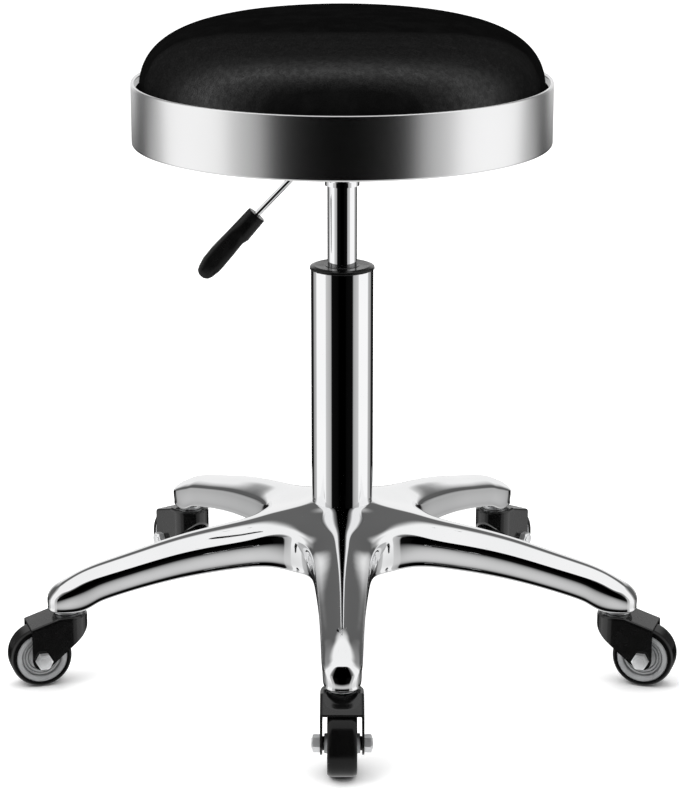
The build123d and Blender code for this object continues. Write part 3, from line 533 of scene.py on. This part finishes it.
makeAluminium()
makeChrome()
makeStainless()
makeZinc()
makeGroundSteel()
makeEnamel()
for slot, looks in plastics.items():
    makeMouldedPlastic(slot, *looks)
makeLeather()
makeFoam()
makePlywood()
makeDustCloth()
for node in nodes.values():
    for place in node.material_slots:
        place.material = finishes[place.material.name.split(".")[0]]
print("finishes made:", len(finishes))


# mesh helpers

def addPiece(name, points, faces, slot, body, replaced=(), modifiers=True):
    mesh = bpy.data.meshes.new(name)
    mesh.from_pydata(points, [], faces)
    shape = bmesh.new()
    shape.from_mesh(mesh)
    bmesh.ops.remove_doubles(shape, verts=shape.verts, dist=1e-6)
    bmesh.ops.recalc_face_normals(shape, faces=shape.faces)
    shape.to_mesh(mesh)
    shape.free()
    mesh.materials.append(finishes[slot])
    mesh.polygons.foreach_set("use_smooth", [True] * len(mesh.polygons))
    piece = bpy.data.objects.new(name, mesh)
    bpy.context.scene.collection.objects.link(piece)
    if modifiers:
        mesh.set_sharp_from_angle(angle=radians(38))
        piece.modifiers.new("evenShading", "WEIGHTED_NORMAL").keep_sharp = True
    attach(piece, body)
    if replaced:
        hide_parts(*replaced)
    return piece


# Outline with each corner (across, along, round) turned into an arc
def roundCorners(corners, steps=5):
    outline = []
    count = len(corners)
    for i, (x, y, rounding) in enumerate(corners):
        here = Vector((x, y))
        if rounding <= 0:
            outline.append((x, y))
            continue
        before = Vector(corners[i - 1][:2]) - here
        after = Vector(corners[(i + 1) % count][:2]) - here
        angle = before.angle(after)
        reach = min(rounding / tan(angle / 2), 0.49 * before.length, 0.49 * after.length)
        if angle > pi - 0.01:
            outline.append((x, y))
            continue
        radius = reach * tan(angle / 2)
        middle = here + (before.normalized() + after.normalized()).normalized() * (radius / sin(angle / 2))
        start = here + before.normalized() * reach - middle
        finish = here + after.normalized() * reach - middle
        sweep = start.angle_signed(finish)
        for step in range(steps + 1):
            point = middle + Matrix.Rotation(-sweep * step / steps, 2) @ start
            outline.append((point.x, point.y))
    return outline


# Points and faces of an outline (out, along) turned round an axis
def turnRound(outline, turns, middle=Vector(), axis=up, closed=True):
    side = axis.orthogonal().normalized()
    other = axis.cross(side)
    points, faces = [], []
    count = len(outline)
    for i in range(turns):
        angle = 2 * pi * i / turns
        spoke = side * cos(angle) + other * sin(angle)
        points += [middle + spoke * out + axis * along for out, along in outline]
        for j in range(count if closed else count - 1):
            k = (j + 1) % count
            n = (i + 1) % turns
            corners = [i * count + j, i * count + k, n * count + k, n * count + j]
            if outline[j][0] < 1e-7 and outline[k][0] < 1e-7:
                continue
            if outline[j][0] < 1e-7:
                corners = [corners[0], corners[1], corners[2]]
            elif outline[k][0] < 1e-7:
                corners = [corners[0], corners[1], corners[3]]
            faces.append(corners)
    return points, faces


def lathe(name, corners, slot, body, replaced=(), turns=96, middle=Vector(), axis=up, steps=5):
    points, faces = turnRound(roundCorners(corners, steps), turns, middle, axis)
    return addPiece(name, points, faces, slot, body, replaced)


# Skin over a stack of loops that each have the same number of points, closed at both ends
def skinLoops(loops):
    turns = len(loops[0])
    points = [point for loop in loops for point in loop]
    faces = []
    for k in range(len(loops) - 1):
        for i in range(turns):
            n = (i + 1) % turns
            faces.append([k * turns + i, k * turns + n, (k + 1) * turns + n, (k + 1) * turns + i])
    faces += [list(range(turns)), [(len(loops) - 1) * turns + i for i in range(turns)]]
    return points, faces


# One list of points and faces from two
def merge(first, second):
    points, faces = first
    return points + second[0], faces + [[len(points) + i for i in face] for face in second[1]]


# column, its cap and the gas spring's tube

columnLow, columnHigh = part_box("column_tube")
columnRadius = columnHigh.x
capLow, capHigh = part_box("guide_bush")
tubeLow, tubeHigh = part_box("pressure_tube")
socketLow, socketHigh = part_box("cone_socket")
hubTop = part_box("star_base")[1].z

column = {"wall": 0.002, "rimRound": 0.0007, "footTaper": 0.0009, "floor": 0.0025, "floorHole": 0.00405}
cap = {"round": 0.0011, "slope": 0.0035, "play": 0.00005, "wiperOut": 0.0023, "wiperWidth": 0.0006}
spring = {"wall": 0.0015, "neck": 0.0006, "foot": 0.0012}


def makeColumn():
    footRadius = columnRadius - column["footTaper"]
    bore = columnRadius - column["wall"]
    floorTop = columnLow.z + column["floor"]
    lathe("columnTube", [
        (column["floorHole"], columnLow.z, 0.0003), (footRadius, columnLow.z, 0.0012),
        (columnRadius, hubTop - 0.004, 0), (columnRadius, columnHigh.z, column["rimRound"]),
        (bore, columnHigh.z, 0.0004), (bore, floorTop, 0.001), (column["floorHole"], floorTop, 0.0003),
    ], "chrome_plate", "base", ["column_tube"], turns=128)


def makeCap():
    bore = tubeHigh.x + cap["play"]
    rim = capHigh.x
    shoulder = columnHigh.z
    top = capHigh.z
    foot = capLow.z
    lathe("columnCap", [
        (bore, foot, 0.0006), (columnRadius - column["wall"], foot, 0.0006),
        (columnRadius - column["wall"], shoulder, 0), (rim, shoulder, 0.0003),
        (rim, top - cap["round"], 0.0012), (rim - cap["slope"], top, 0.002),
        (bore + cap["wiperOut"], top - 0.0004, 0.0002),
        (bore + cap["wiperOut"] - cap["wiperWidth"], top, 0.0003), (bore, top - 0.0002, 0.0003),
    ], "black_plastic", "base", ["guide_bush"], turns=128)


def makeSpringTube():
    radius = tubeHigh.x
    bore = radius - spring["wall"]
    lathe("springTube", [
        (bore, tubeLow.z, 0.0003), (radius - spring["foot"], tubeLow.z, 0.0006),
        (radius, tubeLow.z + 2 * spring["foot"], 0.0006), (radius, socketLow.z, 0),
        (radius - spring["neck"], tubeHigh.z, 0.0005), (bore, tubeHigh.z, 0.0002),
    ], "chrome_plate", "seat", ["pressure_tube"], turns=96)


makeColumn()
makeCap()
makeSpringTube()
print("column, cap and spring tube made")


# trim ring

ringLow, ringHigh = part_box("trim_ring")
ring = {"wall": 0.0012, "bead": 0.0013, "lip": 0.0026, "turns": 256, "beadSteps": 10,
        "tabWidth": 0.016, "tabSheet": 0.0015, "tabLeg": 0.017, "tabDepth": 0.0165}


def makeRing():
    radius = ringHigh.x
    bead = ring["bead"]
    wall = ring["wall"]
    centre = Vector((radius - bead, ringHigh.z - bead))
    curl = []
    for step in range(ring["beadSteps"] + 1):
        angle = pi * 1.45 * step / ring["beadSteps"]
        curl.append((centre.x + bead * cos(angle), centre.y + bead * sin(angle)))
    outline = [
        (radius - ring["lip"], ringLow.z + wall), (radius - ring["lip"], ringLow.z + 0.0002),
        (radius - 0.0012, ringLow.z), (radius - 0.0005, ringLow.z + 0.0002),
        (radius - 0.0001, ringLow.z + 0.0008), (radius, ringLow.z + 0.0018),
        (radius, centre.y - 0.012), (radius, centre.y - 0.001), *curl,
        (radius - wall, centre.y - bead - 0.0006), (radius - wall, centre.y - 0.012),
        (radius - wall, ringLow.z + wall + 0.0004), (radius - wall - 0.0004, ringLow.z + wall),
    ]
    shape = turnRound(outline, ring["turns"])
    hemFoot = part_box("seat_cover")[0].z
    inner = radius - wall
    for i in range(4):  # spot-welded tabs that the board is screwed to
        turn = Matrix.Rotation(radians(45 + 90 * i), 4, "Z")
        half = ring["tabWidth"] / 2
        sheet = ring["tabSheet"]
        side = roundCorners([
            (inner + 0.0002, hemFoot - ring["tabDepth"], 0), (inner + 0.0002, hemFoot, 0.0006),
            (inner - ring["tabLeg"], hemFoot, 0.0004), (inner - ring["tabLeg"], hemFoot - sheet, 0.0004),
            (inner - sheet, hemFoot - sheet, 0.001), (inner - sheet, hemFoot - ring["tabDepth"], 0.0003),
        ], 3)
        count = len(side)
        points = [turn @ Vector((out, across, z)) for across in (-half, half) for out, z in side]
        faces = [[j, (j + 1) % count, count + (j + 1) % count, count + j] for j in range(count)]
        faces += [list(range(count)), [count + j for j in range(count)]]
        shape = merge(shape, (points, faces))
    addPiece("trimRing", *shape, "polished_stainless", "seat", ["trim_ring"])


makeRing()
print("trim ring made")


# star base: one cage for a fifth of the casting, mirrored and repeated

star = {
    "reach": 0.2381,  # column to the middle of an arm's round nose
    "noseRadius": 0.0150,
    "section": [  # share of the half width, share of the depth below the ridge
        (0.52, 0.095), (0.83, 0.215), (0.995, 0.315), (1.03, 0.385), (0.99, 0.62), (0.93, 0.885),
        (0.96, 0.925), (0.95, 1.0), (0.80, 1.0), (0.78, 0.92), (0.76, 0.46),
    ],
    "topShare": 0.25, "topDrop": 0.016, "ceiling": 0.30,
    "hollowRow": 8,  # first row of the section that belongs to the hollow
    "flatShares": (0.86, 0.70, 0.50),
    "stations": [  # out from the column, half width, ridge and lip below the hub's top
        (0.080, 0.0246, 0.0098, 0.0434),
        (0.109, 0.0222, 0.0128, 0.0446),
        (0.144, 0.0194, 0.0180, 0.0476),
        (0.180, 0.0174, 0.0270, 0.0540),
        (0.206, 0.0163, 0.0331, 0.0600),
        (0.2135, 0.0161, 0.0352, 0.0626),
        (0.2185, 0.0159, 0.0368, 0.0655),
        (0.227, 0.0156, 0.0398, 0.0692),
        (0.2381, 0.0150, 0.0455, 0.0692),
    ],
    "flatFrom": 6,  # first station past the hollow's end
    "valleyOut": 0.0660, "filletAt": (0.0655, 0.0293), "filletInward": (-0.454, -0.891),
    "cornerDrops": (  # first rows of the valley and of its fillet, below the hub's top
        (0.0092, 0.0114, 0.0144, 0.0196), (0.0086, 0.0118, 0.0156, 0.0212),
    ),
    "noseDrops": (  # rows of the nose's front, below the hub's top
        0.0506, 0.0545, 0.0584, 0.0618, 0.0643, 0.0665, 0.0674, 0.0692, 0.0692, 0.0692, 0.0692,
    ),
    "noseOut": (0.52, 0.76, 0.91, 0.99, 1.0, 0.975, 1.0, 0.98, 0.86, 0.70, 0.50),
    "hubRows": (  # out along the arm and its drop, then the point beside it: x, y and drop
        (0.046, 0.0037, 0.0465, 0.0085, 0.0046), (0.062, 0.0058, 0.0622, 0.0068, 0.0066),
    ),
    "hubThickness": 0.009, "hubFoot": 0.042, "hubFootUp": 0.018, "hubCeiling": 0.016, "subdivisions": 3,
}


# Half of one arm, from its ridge to the valley beside it
def wedgeCage():
    points, faces = [], []

    def put(x, y, z):
        points.append(Vector((x, y, z)))
        return len(points) - 1

    def strip(first, second):
        for i in range(len(first) - 1):
            quad = [first[i], first[i + 1], second[i + 1], second[i]]
            if len(set(quad)) == 4:
                faces.append(quad)

    def ringAt(radius, z):
        return [put(radius * cos(radians(a)), radius * sin(radians(a)), z) for a in (0, 18, 36)]

    section = star["section"]
    cornerDrops = star["cornerDrops"]
    rootHalf = star["stations"][0][1]
    columns = []  # each: base point, inward direction, width, ridge z, lip z

    valley = Vector((cos(radians(36)), sin(radians(36))))
    columns.append((valley * star["valleyOut"], -valley, rootHalf, hubTop - 0.0108, hubTop - 0.0470))
    columns.append((Vector(star["filletAt"]), Vector(star["filletInward"]), rootHalf,
                    hubTop - 0.0098, hubTop - 0.0446))
    for out, half, ridge, lip in star["stations"]:
        columns.append((Vector((out, half)), Vector((0, -1)), half, hubTop - ridge, hubTop - lip))
    walls = []
    flatFrom = star["flatFrom"] + 2
    hollowRow = star["hollowRow"]
    flatShares = star["flatShares"]
    for index, (base, inward, half, ridge, lip) in enumerate(columns):
        wall = []
        for row, (share, drop) in enumerate(section):
            place = base + inward * (1 - share) * half
            z = ridge - drop * (ridge - lip)
            if index < len(cornerDrops) and row < len(cornerDrops[index]):
                z = hubTop - cornerDrops[index][row]
            if index >= flatFrom and row >= hollowRow:
                place = base + inward * (1 - flatShares[row - hollowRow]) * half
                z = lip
            wall.append(put(place.x, place.y, z))
        walls.append(wall)
    nose = star["noseRadius"]
    lip = columns[-1][4]
    ridge = columns[-1][3]
    for angle, blend, spread in ((45, 0.5, 1.07), (90, 1.0, 1.0)):
        wall = []
        for row, (share, drop) in enumerate(section):
            sideOut = share if row < hollowRow else flatShares[row - hollowRow]
            out = nose * (sideOut + (star["noseOut"][row] - sideOut) * blend) * spread
            sideZ = ridge - drop * (ridge - lip) if row < hollowRow else lip
            z = sideZ + (hubTop - star["noseDrops"][row] - sideZ) * blend ** 1.2
            wall.append(put(star["reach"] + out * sin(radians(angle)), out * cos(radians(angle)), z))
        walls.append(wall)
    for first, second in zip(walls, walls[1:]):
        strip(first, second)

    tops, unders = [], []
    thickness = star["hubThickness"]
    for index, (base, _, half, ridge, lip) in enumerate(columns):
        outer, inner = walls[index][0], walls[index][-1]
        if index < 2:
            out, drop, sideX, sideY, sideDrop = star["hubRows"][index]
            tops.append([put(out, 0, hubTop - drop), put(sideX, sideY, hubTop - sideDrop), outer])
            unders.append([put(out, 0, hubTop - drop - thickness),
                           put(sideX, sideY * 1.4, hubTop - sideDrop - thickness), inner])
            continue
        depth = ridge - lip
        shoulder = ridge - star["topDrop"] * depth
        tops.append([put(base.x, 0, ridge), put(base.x, half * star["topShare"], shoulder), outer])
        if index >= flatFrom:
            unders.append([put(base.x, 0, lip), put(base.x, half * 0.3, lip), inner])
        else:
            ceiling = ridge - star["ceiling"] * depth
            unders.append([put(base.x, 0, ceiling), put(base.x, half * 0.4, ceiling - 0.001), inner])
    for rows in (tops, unders):
        for first, second in zip(rows, rows[1:]):
            strip(first, second)

    def closeEnd(last, diagonal, front, centreZ, innerZ):
        centre = put(star["reach"] + nose * 0.27, 0, centreZ)
        inner = put(star["reach"] + nose * 0.22, nose * 0.22, innerZ)
        faces.append([last[0], last[1], inner, centre])
        faces.append([last[1], last[2], diagonal, inner])
        faces.append([centre, inner, diagonal, front])

    closeEnd(tops[-1], walls[-2][0], walls[-1][0], hubTop - 0.0478, hubTop - 0.0476)
    closeEnd(unders[-1], walls[-2][-1], walls[-1][-1], lip, lip)

    sunk = 0.0014  # the casting starts inside the column's wall
    hubRings = [
        ringAt(columnRadius - sunk, hubTop - 0.012), ringAt(columnRadius - sunk, hubTop - 0.0001),
        ringAt(columnRadius - 0.0009, hubTop), ringAt(columnRadius + 0.0010, hubTop - 0.0003),
    ]
    middle = [put(0.034, 0, hubTop - 0.0018), put(0.0335, 0.0085, hubTop - 0.0028),
              put(0.037 * valley.x, 0.037 * valley.y, hubTop - 0.0058)]
    hubRings += [middle, tops[0]]
    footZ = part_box("star_base")[0].z + star["hubFootUp"]
    hubFoot = star["hubFoot"]
    lower = [unders[0], ringAt(hubFoot + 0.001, hubTop - star["hubCeiling"]), ringAt(hubFoot, footZ + 0.0015),
             ringAt(hubFoot - 0.001, footZ), ringAt(columnRadius + 0.002, footZ),
             ringAt(columnRadius - sunk, footZ), ringAt(columnRadius - sunk, footZ + 0.006)]
    for rows in (hubRings, lower, [lower[-1], hubRings[0]]):
        for first, second in zip(rows, rows[1:]):
            strip(first, second)
    return points, faces


def makeStarBase():
    half = wedgeCage()
    mirrored = ([Vector((p.x, -p.y, p.z)) for p in half[0]], half[1])
    whole = ([], [])
    for i in range(5):
        turn = Matrix.Rotation(radians(-90 + 72 * i), 4, "Z")
        for points, faces in (half, mirrored):
            whole = merge(whole, ([turn @ p for p in points], faces))
    piece = addPiece("starBase", *whole, "polished_aluminium", "base", ["star_base"], modifiers=False)
    smooth = piece.modifiers.new("smoothSkin", "SUBSURF")
    smooth.levels = star["subdivisions"]
    smooth.render_levels = star["subdivisions"]


makeStarBase()
print("star base made")


# casters

tread = {"depth": 0.0042, "round": 0.0030, "shoulder": 0.0034, "shoulderIn": 0.0012, "crown": 0.006}
hub = {
    "bore": 0.0054, "naveEdge": 0.0074,
    "face": (  # out from the axle, out from the wheel's middle plane, rounding: two grooves and the rim
        (0.0080, 0.0072, 0.0012), (0.0106, 0.0074, 0.0004), (0.0107, 0.0062, 0.0001),
        (0.0112, 0.0062, 0.0001), (0.0114, 0.0084, 0.0004), (0.0130, 0.0085, 0.0004),
        (0.0131, 0.0068, 0.0001), (0.0136, 0.0068, 0.0001), (0.0138, 0.0082, 0.0003),
        (0.0154, 0.0083, 0.0003), (0.0155, 0.0068, 0.0001), (0.0161, 0.0068, 0.0001),
        (0.0163, 0.0100, 0.0006),
    ),
    "rimInner": 0.0172, "rimOuter": 0.0196,
}
bolt = {
    "flats": 0.012, "head": 0.0056, "faceRadius": 0.0043, "faceHeight": 0.0009, "chamfer": 28.0,
    "shank": 0.0039, "turns": 72,
}


# A wheel's middle and the direction of its axle
def casterFrame(number):
    low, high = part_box(f"wheel_tread_{number}")
    middle = (low + high) / 2
    outward = Vector((middle.x, middle.y, 0)).normalized()
    return middle, up.cross(outward)


def makeWheel(number):
    middle, axle = casterFrame(number)
    low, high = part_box("wheel_tread_1")
    radius = (high.z - low.z) / 2
    width = (high.x - low.x) / 2
    hubLow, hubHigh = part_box("wheel_hub_1")
    nave = (hubHigh.x - hubLow.x) / 2
    rim = radius - tread["depth"]
    edge = radius - tread["shoulderIn"]
    crown = width - tread["shoulder"]
    lathe(f"wheelTread{number}", [
        (rim, -width, 0.0003), (edge, -width, tread["round"]), (radius, -crown, tread["crown"]),
        (radius, crown, tread["crown"]), (edge, width, tread["round"]), (rim, width, 0.0003),
    ], "black_tread", f"wheel_{number}", [f"wheel_tread_{number}"], turns=96, middle=middle, axis=axle,
        steps=6)
    face = [
        (hub["bore"], nave, 0.0002), (hub["naveEdge"], nave, 0.0005), *hub["face"],
        (hub["rimInner"], width - 0.0006, 0.0006), (hub["rimOuter"], width - 0.0003, 0.0008),
        (rim, width - 0.0010, 0.0002),
    ]
    back = [(out, -away, rounding) for out, away, rounding in reversed(face)]
    lathe(f"wheelHub{number}", face + back, "wheel_grey", f"wheel_{number}", [f"wheel_hub_{number}"],
          turns=96, middle=middle, axis=axle, steps=3)


def hexRadius(angle):
    return bolt["flats"] / 2 / cos((angle + pi / 6) % (pi / 3) - pi / 6)


# A chamfered hexagon with a round raised face, as points and faces
def hexHead(middle, axis, foot, height):
    turns = bolt["turns"]
    side = up
    other = axis.cross(side)
    crown = bolt["flats"] / 2 * 0.94
    rings = []
    for kind in ("foot", "edge", "crown", "faceFoot", "faceEdge", "faceTop", "centre"):
        loop = []
        for i in range(turns):
            angle = 2 * pi * i / turns
            out = hexRadius(angle)
            along = foot + height
            if kind == "foot":
                along = foot
            elif kind == "edge":
                along -= max(0.0, out - crown) * tan(radians(bolt["chamfer"]))
            elif kind == "crown":
                out = crown
            elif kind == "faceFoot":
                out = bolt["faceRadius"]
            elif kind == "faceEdge":
                out = bolt["faceRadius"] - 0.0001
                along += bolt["faceHeight"] - 0.0003
            elif kind == "faceTop":
                out = bolt["faceRadius"] - 0.0005
                along += bolt["faceHeight"]
            else:
                out = 0.0001
                along += bolt["faceHeight"]
            loop.append(middle + (side * cos(angle) + other * sin(angle)) * out + axis * along)
        rings.append(loop)
    return skinLoops(rings)


def makeAxle(number):
    middle, axle = casterFrame(number)
    forkLow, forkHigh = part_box("caster_fork_1")
    half = (forkHigh.x - forkLow.x) / 2
    head = hexHead(middle, axle, half, bolt["head"])
    end = half + 0.001
    shank = turnRound([(0, -half), (bolt["shank"], -half), (bolt["shank"], end), (0, end)], 32, middle, axle)
    addPiece(f"axleBolt{number}", *merge(head, shank), "zinc_steel", f"caster_{number}",
             [f"axle_bolt_{number}"])
    nut = hexHead(middle, -axle, half, bolt["head"])
    addPiece(f"axleNut{number}", *nut, "zinc_steel", f"caster_{number}", [f"axle_nut_{number}"])


for number in casterNumbers:
    makeWheel(number)
    makeAxle(number)
print("casters made")


# cushion: closed leather cover over foam, blown up by a cloth simulation

coverLow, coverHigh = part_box("seat_cover")
cushion = {
    "sidePower": 3.82, "topPower": 2.36, "rimZ": 0.477, "slack": 0.0020, "voxel": 0.005,
    "pressure": 4.0, "tension": 40, "bending": 6, "frames": 20, "mostMove": 0.006, "turns": 96, "steps": 22,
}
hem = {"width": 0.030, "thickness": 0.0010, "overlap": 0.008}


def cushionOutline(radius, top, foot):
    height = top - cushion["rimZ"]
    outline = [(0, foot), (radius - 0.034, foot), (radius - 0.003, foot + 0.0003), (radius, foot + 0.003)]
    for step in range(cushion["steps"]):
        turn = radians(90 * step / cushion["steps"])
        outline.append((radius * cos(turn) ** (2 / cushion["sidePower"]),
                        cushion["rimZ"] + height * sin(turn) ** (2 / cushion["topPower"])))
    outline.append((0, top))
    return outline


def makeCushion():
    slack = cushion["slack"]
    outline = cushionOutline(coverHigh.x - slack, coverHigh.z - slack, coverLow.z + 0.0005)
    points, faces = turnRound(outline, cushion["turns"], closed=False)
    piece = addPiece("seatCushion", points, faces, "black_leather", "seat", ["seat_cover", "seat_foam"],
                     modifiers=False)
    remesh = piece.modifiers.new("evenMesh", "REMESH")
    remesh.mode = "VOXEL"
    remesh.voxel_size = cushion["voxel"]
    settleModifiers(piece)
    softenMesh(piece, 6)
    inflate(piece)
    smooth = piece.modifiers.new("smoothSkin", "SUBSURF")
    smooth.levels = 1
    smooth.render_levels = 1
    settleModifiers(piece)


# Keep what the modifiers make as the piece's own mesh
def settleModifiers(piece):
    made = bpy.data.meshes.new_from_object(piece.evaluated_get(bpy.context.evaluated_depsgraph_get()))
    piece.modifiers.clear()
    piece.data = made
    made.polygons.foreach_set("use_smooth", [True] * len(made.polygons))


def softenMesh(piece, rounds):
    shape = bmesh.new()
    shape.from_mesh(piece.data)
    for _ in range(rounds):
        bmesh.ops.smooth_vert(shape, verts=shape.verts, factor=0.5,
                              use_axis_x=True, use_axis_y=True, use_axis_z=True)
    shape.to_mesh(piece.data)
    shape.free()


def inflate(piece):
    start = [v.co.copy() for v in piece.data.vertices]
    held = piece.vertex_groups.new(name="held")
    for vertex in piece.data.vertices:  # inside the ring the cover is pulled down tight
        hold = min(1.0, max(0.0, (ringHigh.z + 0.004 - vertex.co.z) / 0.008))
        held.add([vertex.index], hold, "REPLACE")
    cloth = piece.modifiers.new("stuffing", "CLOTH")
    cloth.settings.use_pressure = True
    cloth.settings.uniform_pressure_force = cushion["pressure"]
    cloth.settings.effector_weights.gravity = 0
    cloth.settings.vertex_group_mass = "held"
    cloth.settings.tension_stiffness = cushion["tension"]
    cloth.settings.bending_stiffness = cushion["bending"]
    scene = bpy.context.scene
    for number in range(1, cushion["frames"] + 1):
        scene.frame_set(number)
    settleModifiers(piece)
    scene.frame_set(1)
    for vertex, old in zip(piece.data.vertices, start):
        move = vertex.co - old
        if move.length > cushion["mostMove"]:
            vertex.co = old + move.normalized() * cushion["mostMove"]
    softenMesh(piece, 3)


# The cover's edge, drawn down round the board's rim and folded under it
def makeHem():
    boardLow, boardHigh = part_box("seat_board")
    radius = coverHigh.x
    foot = coverLow.z
    top = boardHigh.z + hem["thickness"]
    lathe("seatHem", [
        (radius - hem["width"], foot, 0.0003), (radius, foot, 0.0012), (radius, top, 0.0005),
        (boardHigh.x - hem["overlap"], top, 0.0003), (boardHigh.x - hem["overlap"], boardHigh.z, 0),
        (boardHigh.x, boardHigh.z, 0), (boardHigh.x, boardLow.z, 0),
        (radius - hem["width"], boardLow.z, 0.0003),
    ], "black_leather", "seat", turns=128)


makeCushion()
makeHem()
print("cushion made")


# height lever's grip

grip = {
    "slope": 48.4, "length": 0.0685, "halfWidth": 0.0070, "bore": 0.0026, "boreDepth": 0.030, "turns": 48,
    "start": Vector((-0.0690, 0, 0.3737)),
    # outlines along the grip: share of its length, then millimetres off the rod or share of the width
    "upper": ((0.0, 8.1), (0.18, 8.4), (0.42, 8.9), (0.64, 9.6), (0.82, 9.0), (0.92, 7.4), (0.97, 5.9),
              (0.992, 4.2), (1.0, 2.6)),
    "lower": ((0.0, -8.1), (0.28, -8.7), (0.295, -8.9), (0.33, -8.2), (0.375, -7.1), (0.53, -7.7),
              (0.80, -8.3), (0.92, -6.9), (0.975, -5.3), (1.0, -2.6)),
    "width": ((0.0, 0.98), (0.29, 1.0), (0.36, 0.93), (0.60, 0.97), (0.85, 0.90), (0.95, 0.72), (1.0, 0.42)),
    "rows": (0, 0.006, 0.02, 0.10, 0.20, 0.27, 0.285, 0.30, 0.33, 0.37, 0.42, 0.50, 0.58, 0.66, 0.74, 0.82,
             0.88, 0.92, 0.95, 0.97, 0.985, 0.995, 1.0),
}


# Value at a place along a list of (place, value) pairs
def along(pairs, place):
    for (start, first), (end, second) in zip(pairs, pairs[1:]):
        if place <= end:
            return first + (second - first) * (place - start) / (end - start)
    return pairs[-1][1]


def makeGrip():
    slope = radians(grip["slope"])
    down = Vector((-cos(slope), 0, -sin(slope)))
    across = Vector((-sin(slope), 0, cos(slope)))
    side = Vector((0, 1, 0))
    start = grip["start"]
    turns = grip["turns"]
    rings = []
    for row in grip["rows"]:
        top = along(grip["upper"], row) / 1000
        foot = along(grip["lower"], row) / 1000
        half = grip["halfWidth"] * along(grip["width"], row)
        shrink = 0.93 if row == 0 else 0.985 if row < 0.01 else 1.0
        power = 2 / (2.05 + 1.1 * min(1.0, max(0.0, (row - 0.27) / 0.12)))  # round sleeve, squarer paddle
        loop = []
        for i in range(turns):
            angle = 2 * pi * i / turns
            lift = abs(sin(angle)) ** power * (1 if sin(angle) > 0 else -1)
            out = abs(cos(angle)) ** power * (1 if cos(angle) > 0 else -1)
            centre = (top + foot) / 2
            place = start + down * grip["length"] * row + across * (centre + lift * (top - foot) / 2 * shrink)
            loop.append(place + side * out * half * shrink)
        rings.append(loop)
    bore = []
    for depth in (grip["boreDepth"], 0):
        loop = []
        for i in range(turns):
            angle = 2 * pi * i / turns
            loop.append(start + down * depth + (across * sin(angle) + side * cos(angle)) * grip["bore"])
        bore.append(loop)
    points, faces = skinLoops(bore + rings)
    addPiece("leverGrip", points, faces, "black_plastic", "lever", ["lever_grip"])


makeGrip()
print("grip made")


# small edges of the pressed and machined parts that are kept as they are

edges = {"caster_fork": 0.0004, "seat_board": 0.0006, "piston_rod": 0.0003}


def softenEdges(piece, width):
    bevel = piece.modifiers.new("softEdges", "BEVEL")
    bevel.width = width
    bevel.segments = 2
    bevel.limit_method = "ANGLE"
    bevel.angle_limit = radians(45)
    bevel.harden_normals = True


for name, node in nodes.items():
    for start, width in edges.items():
        if name.startswith(start):
            softenEdges(node, width)
underside = (
    "seat_board", "dust_cover", "seat_plate", "plate_bolts", "board_nuts", "cone_socket", "lever_bushes",
)
hidden = [node for name, node in nodes.items() if name in underside]
for piece in hidden + [bpy.data.objects[name] for name in ("seatCushion", "seatHem", "trimRing")]:
    piece.visible_glossy = False  # the polished arms mirror the studio alone
print("edges softened")
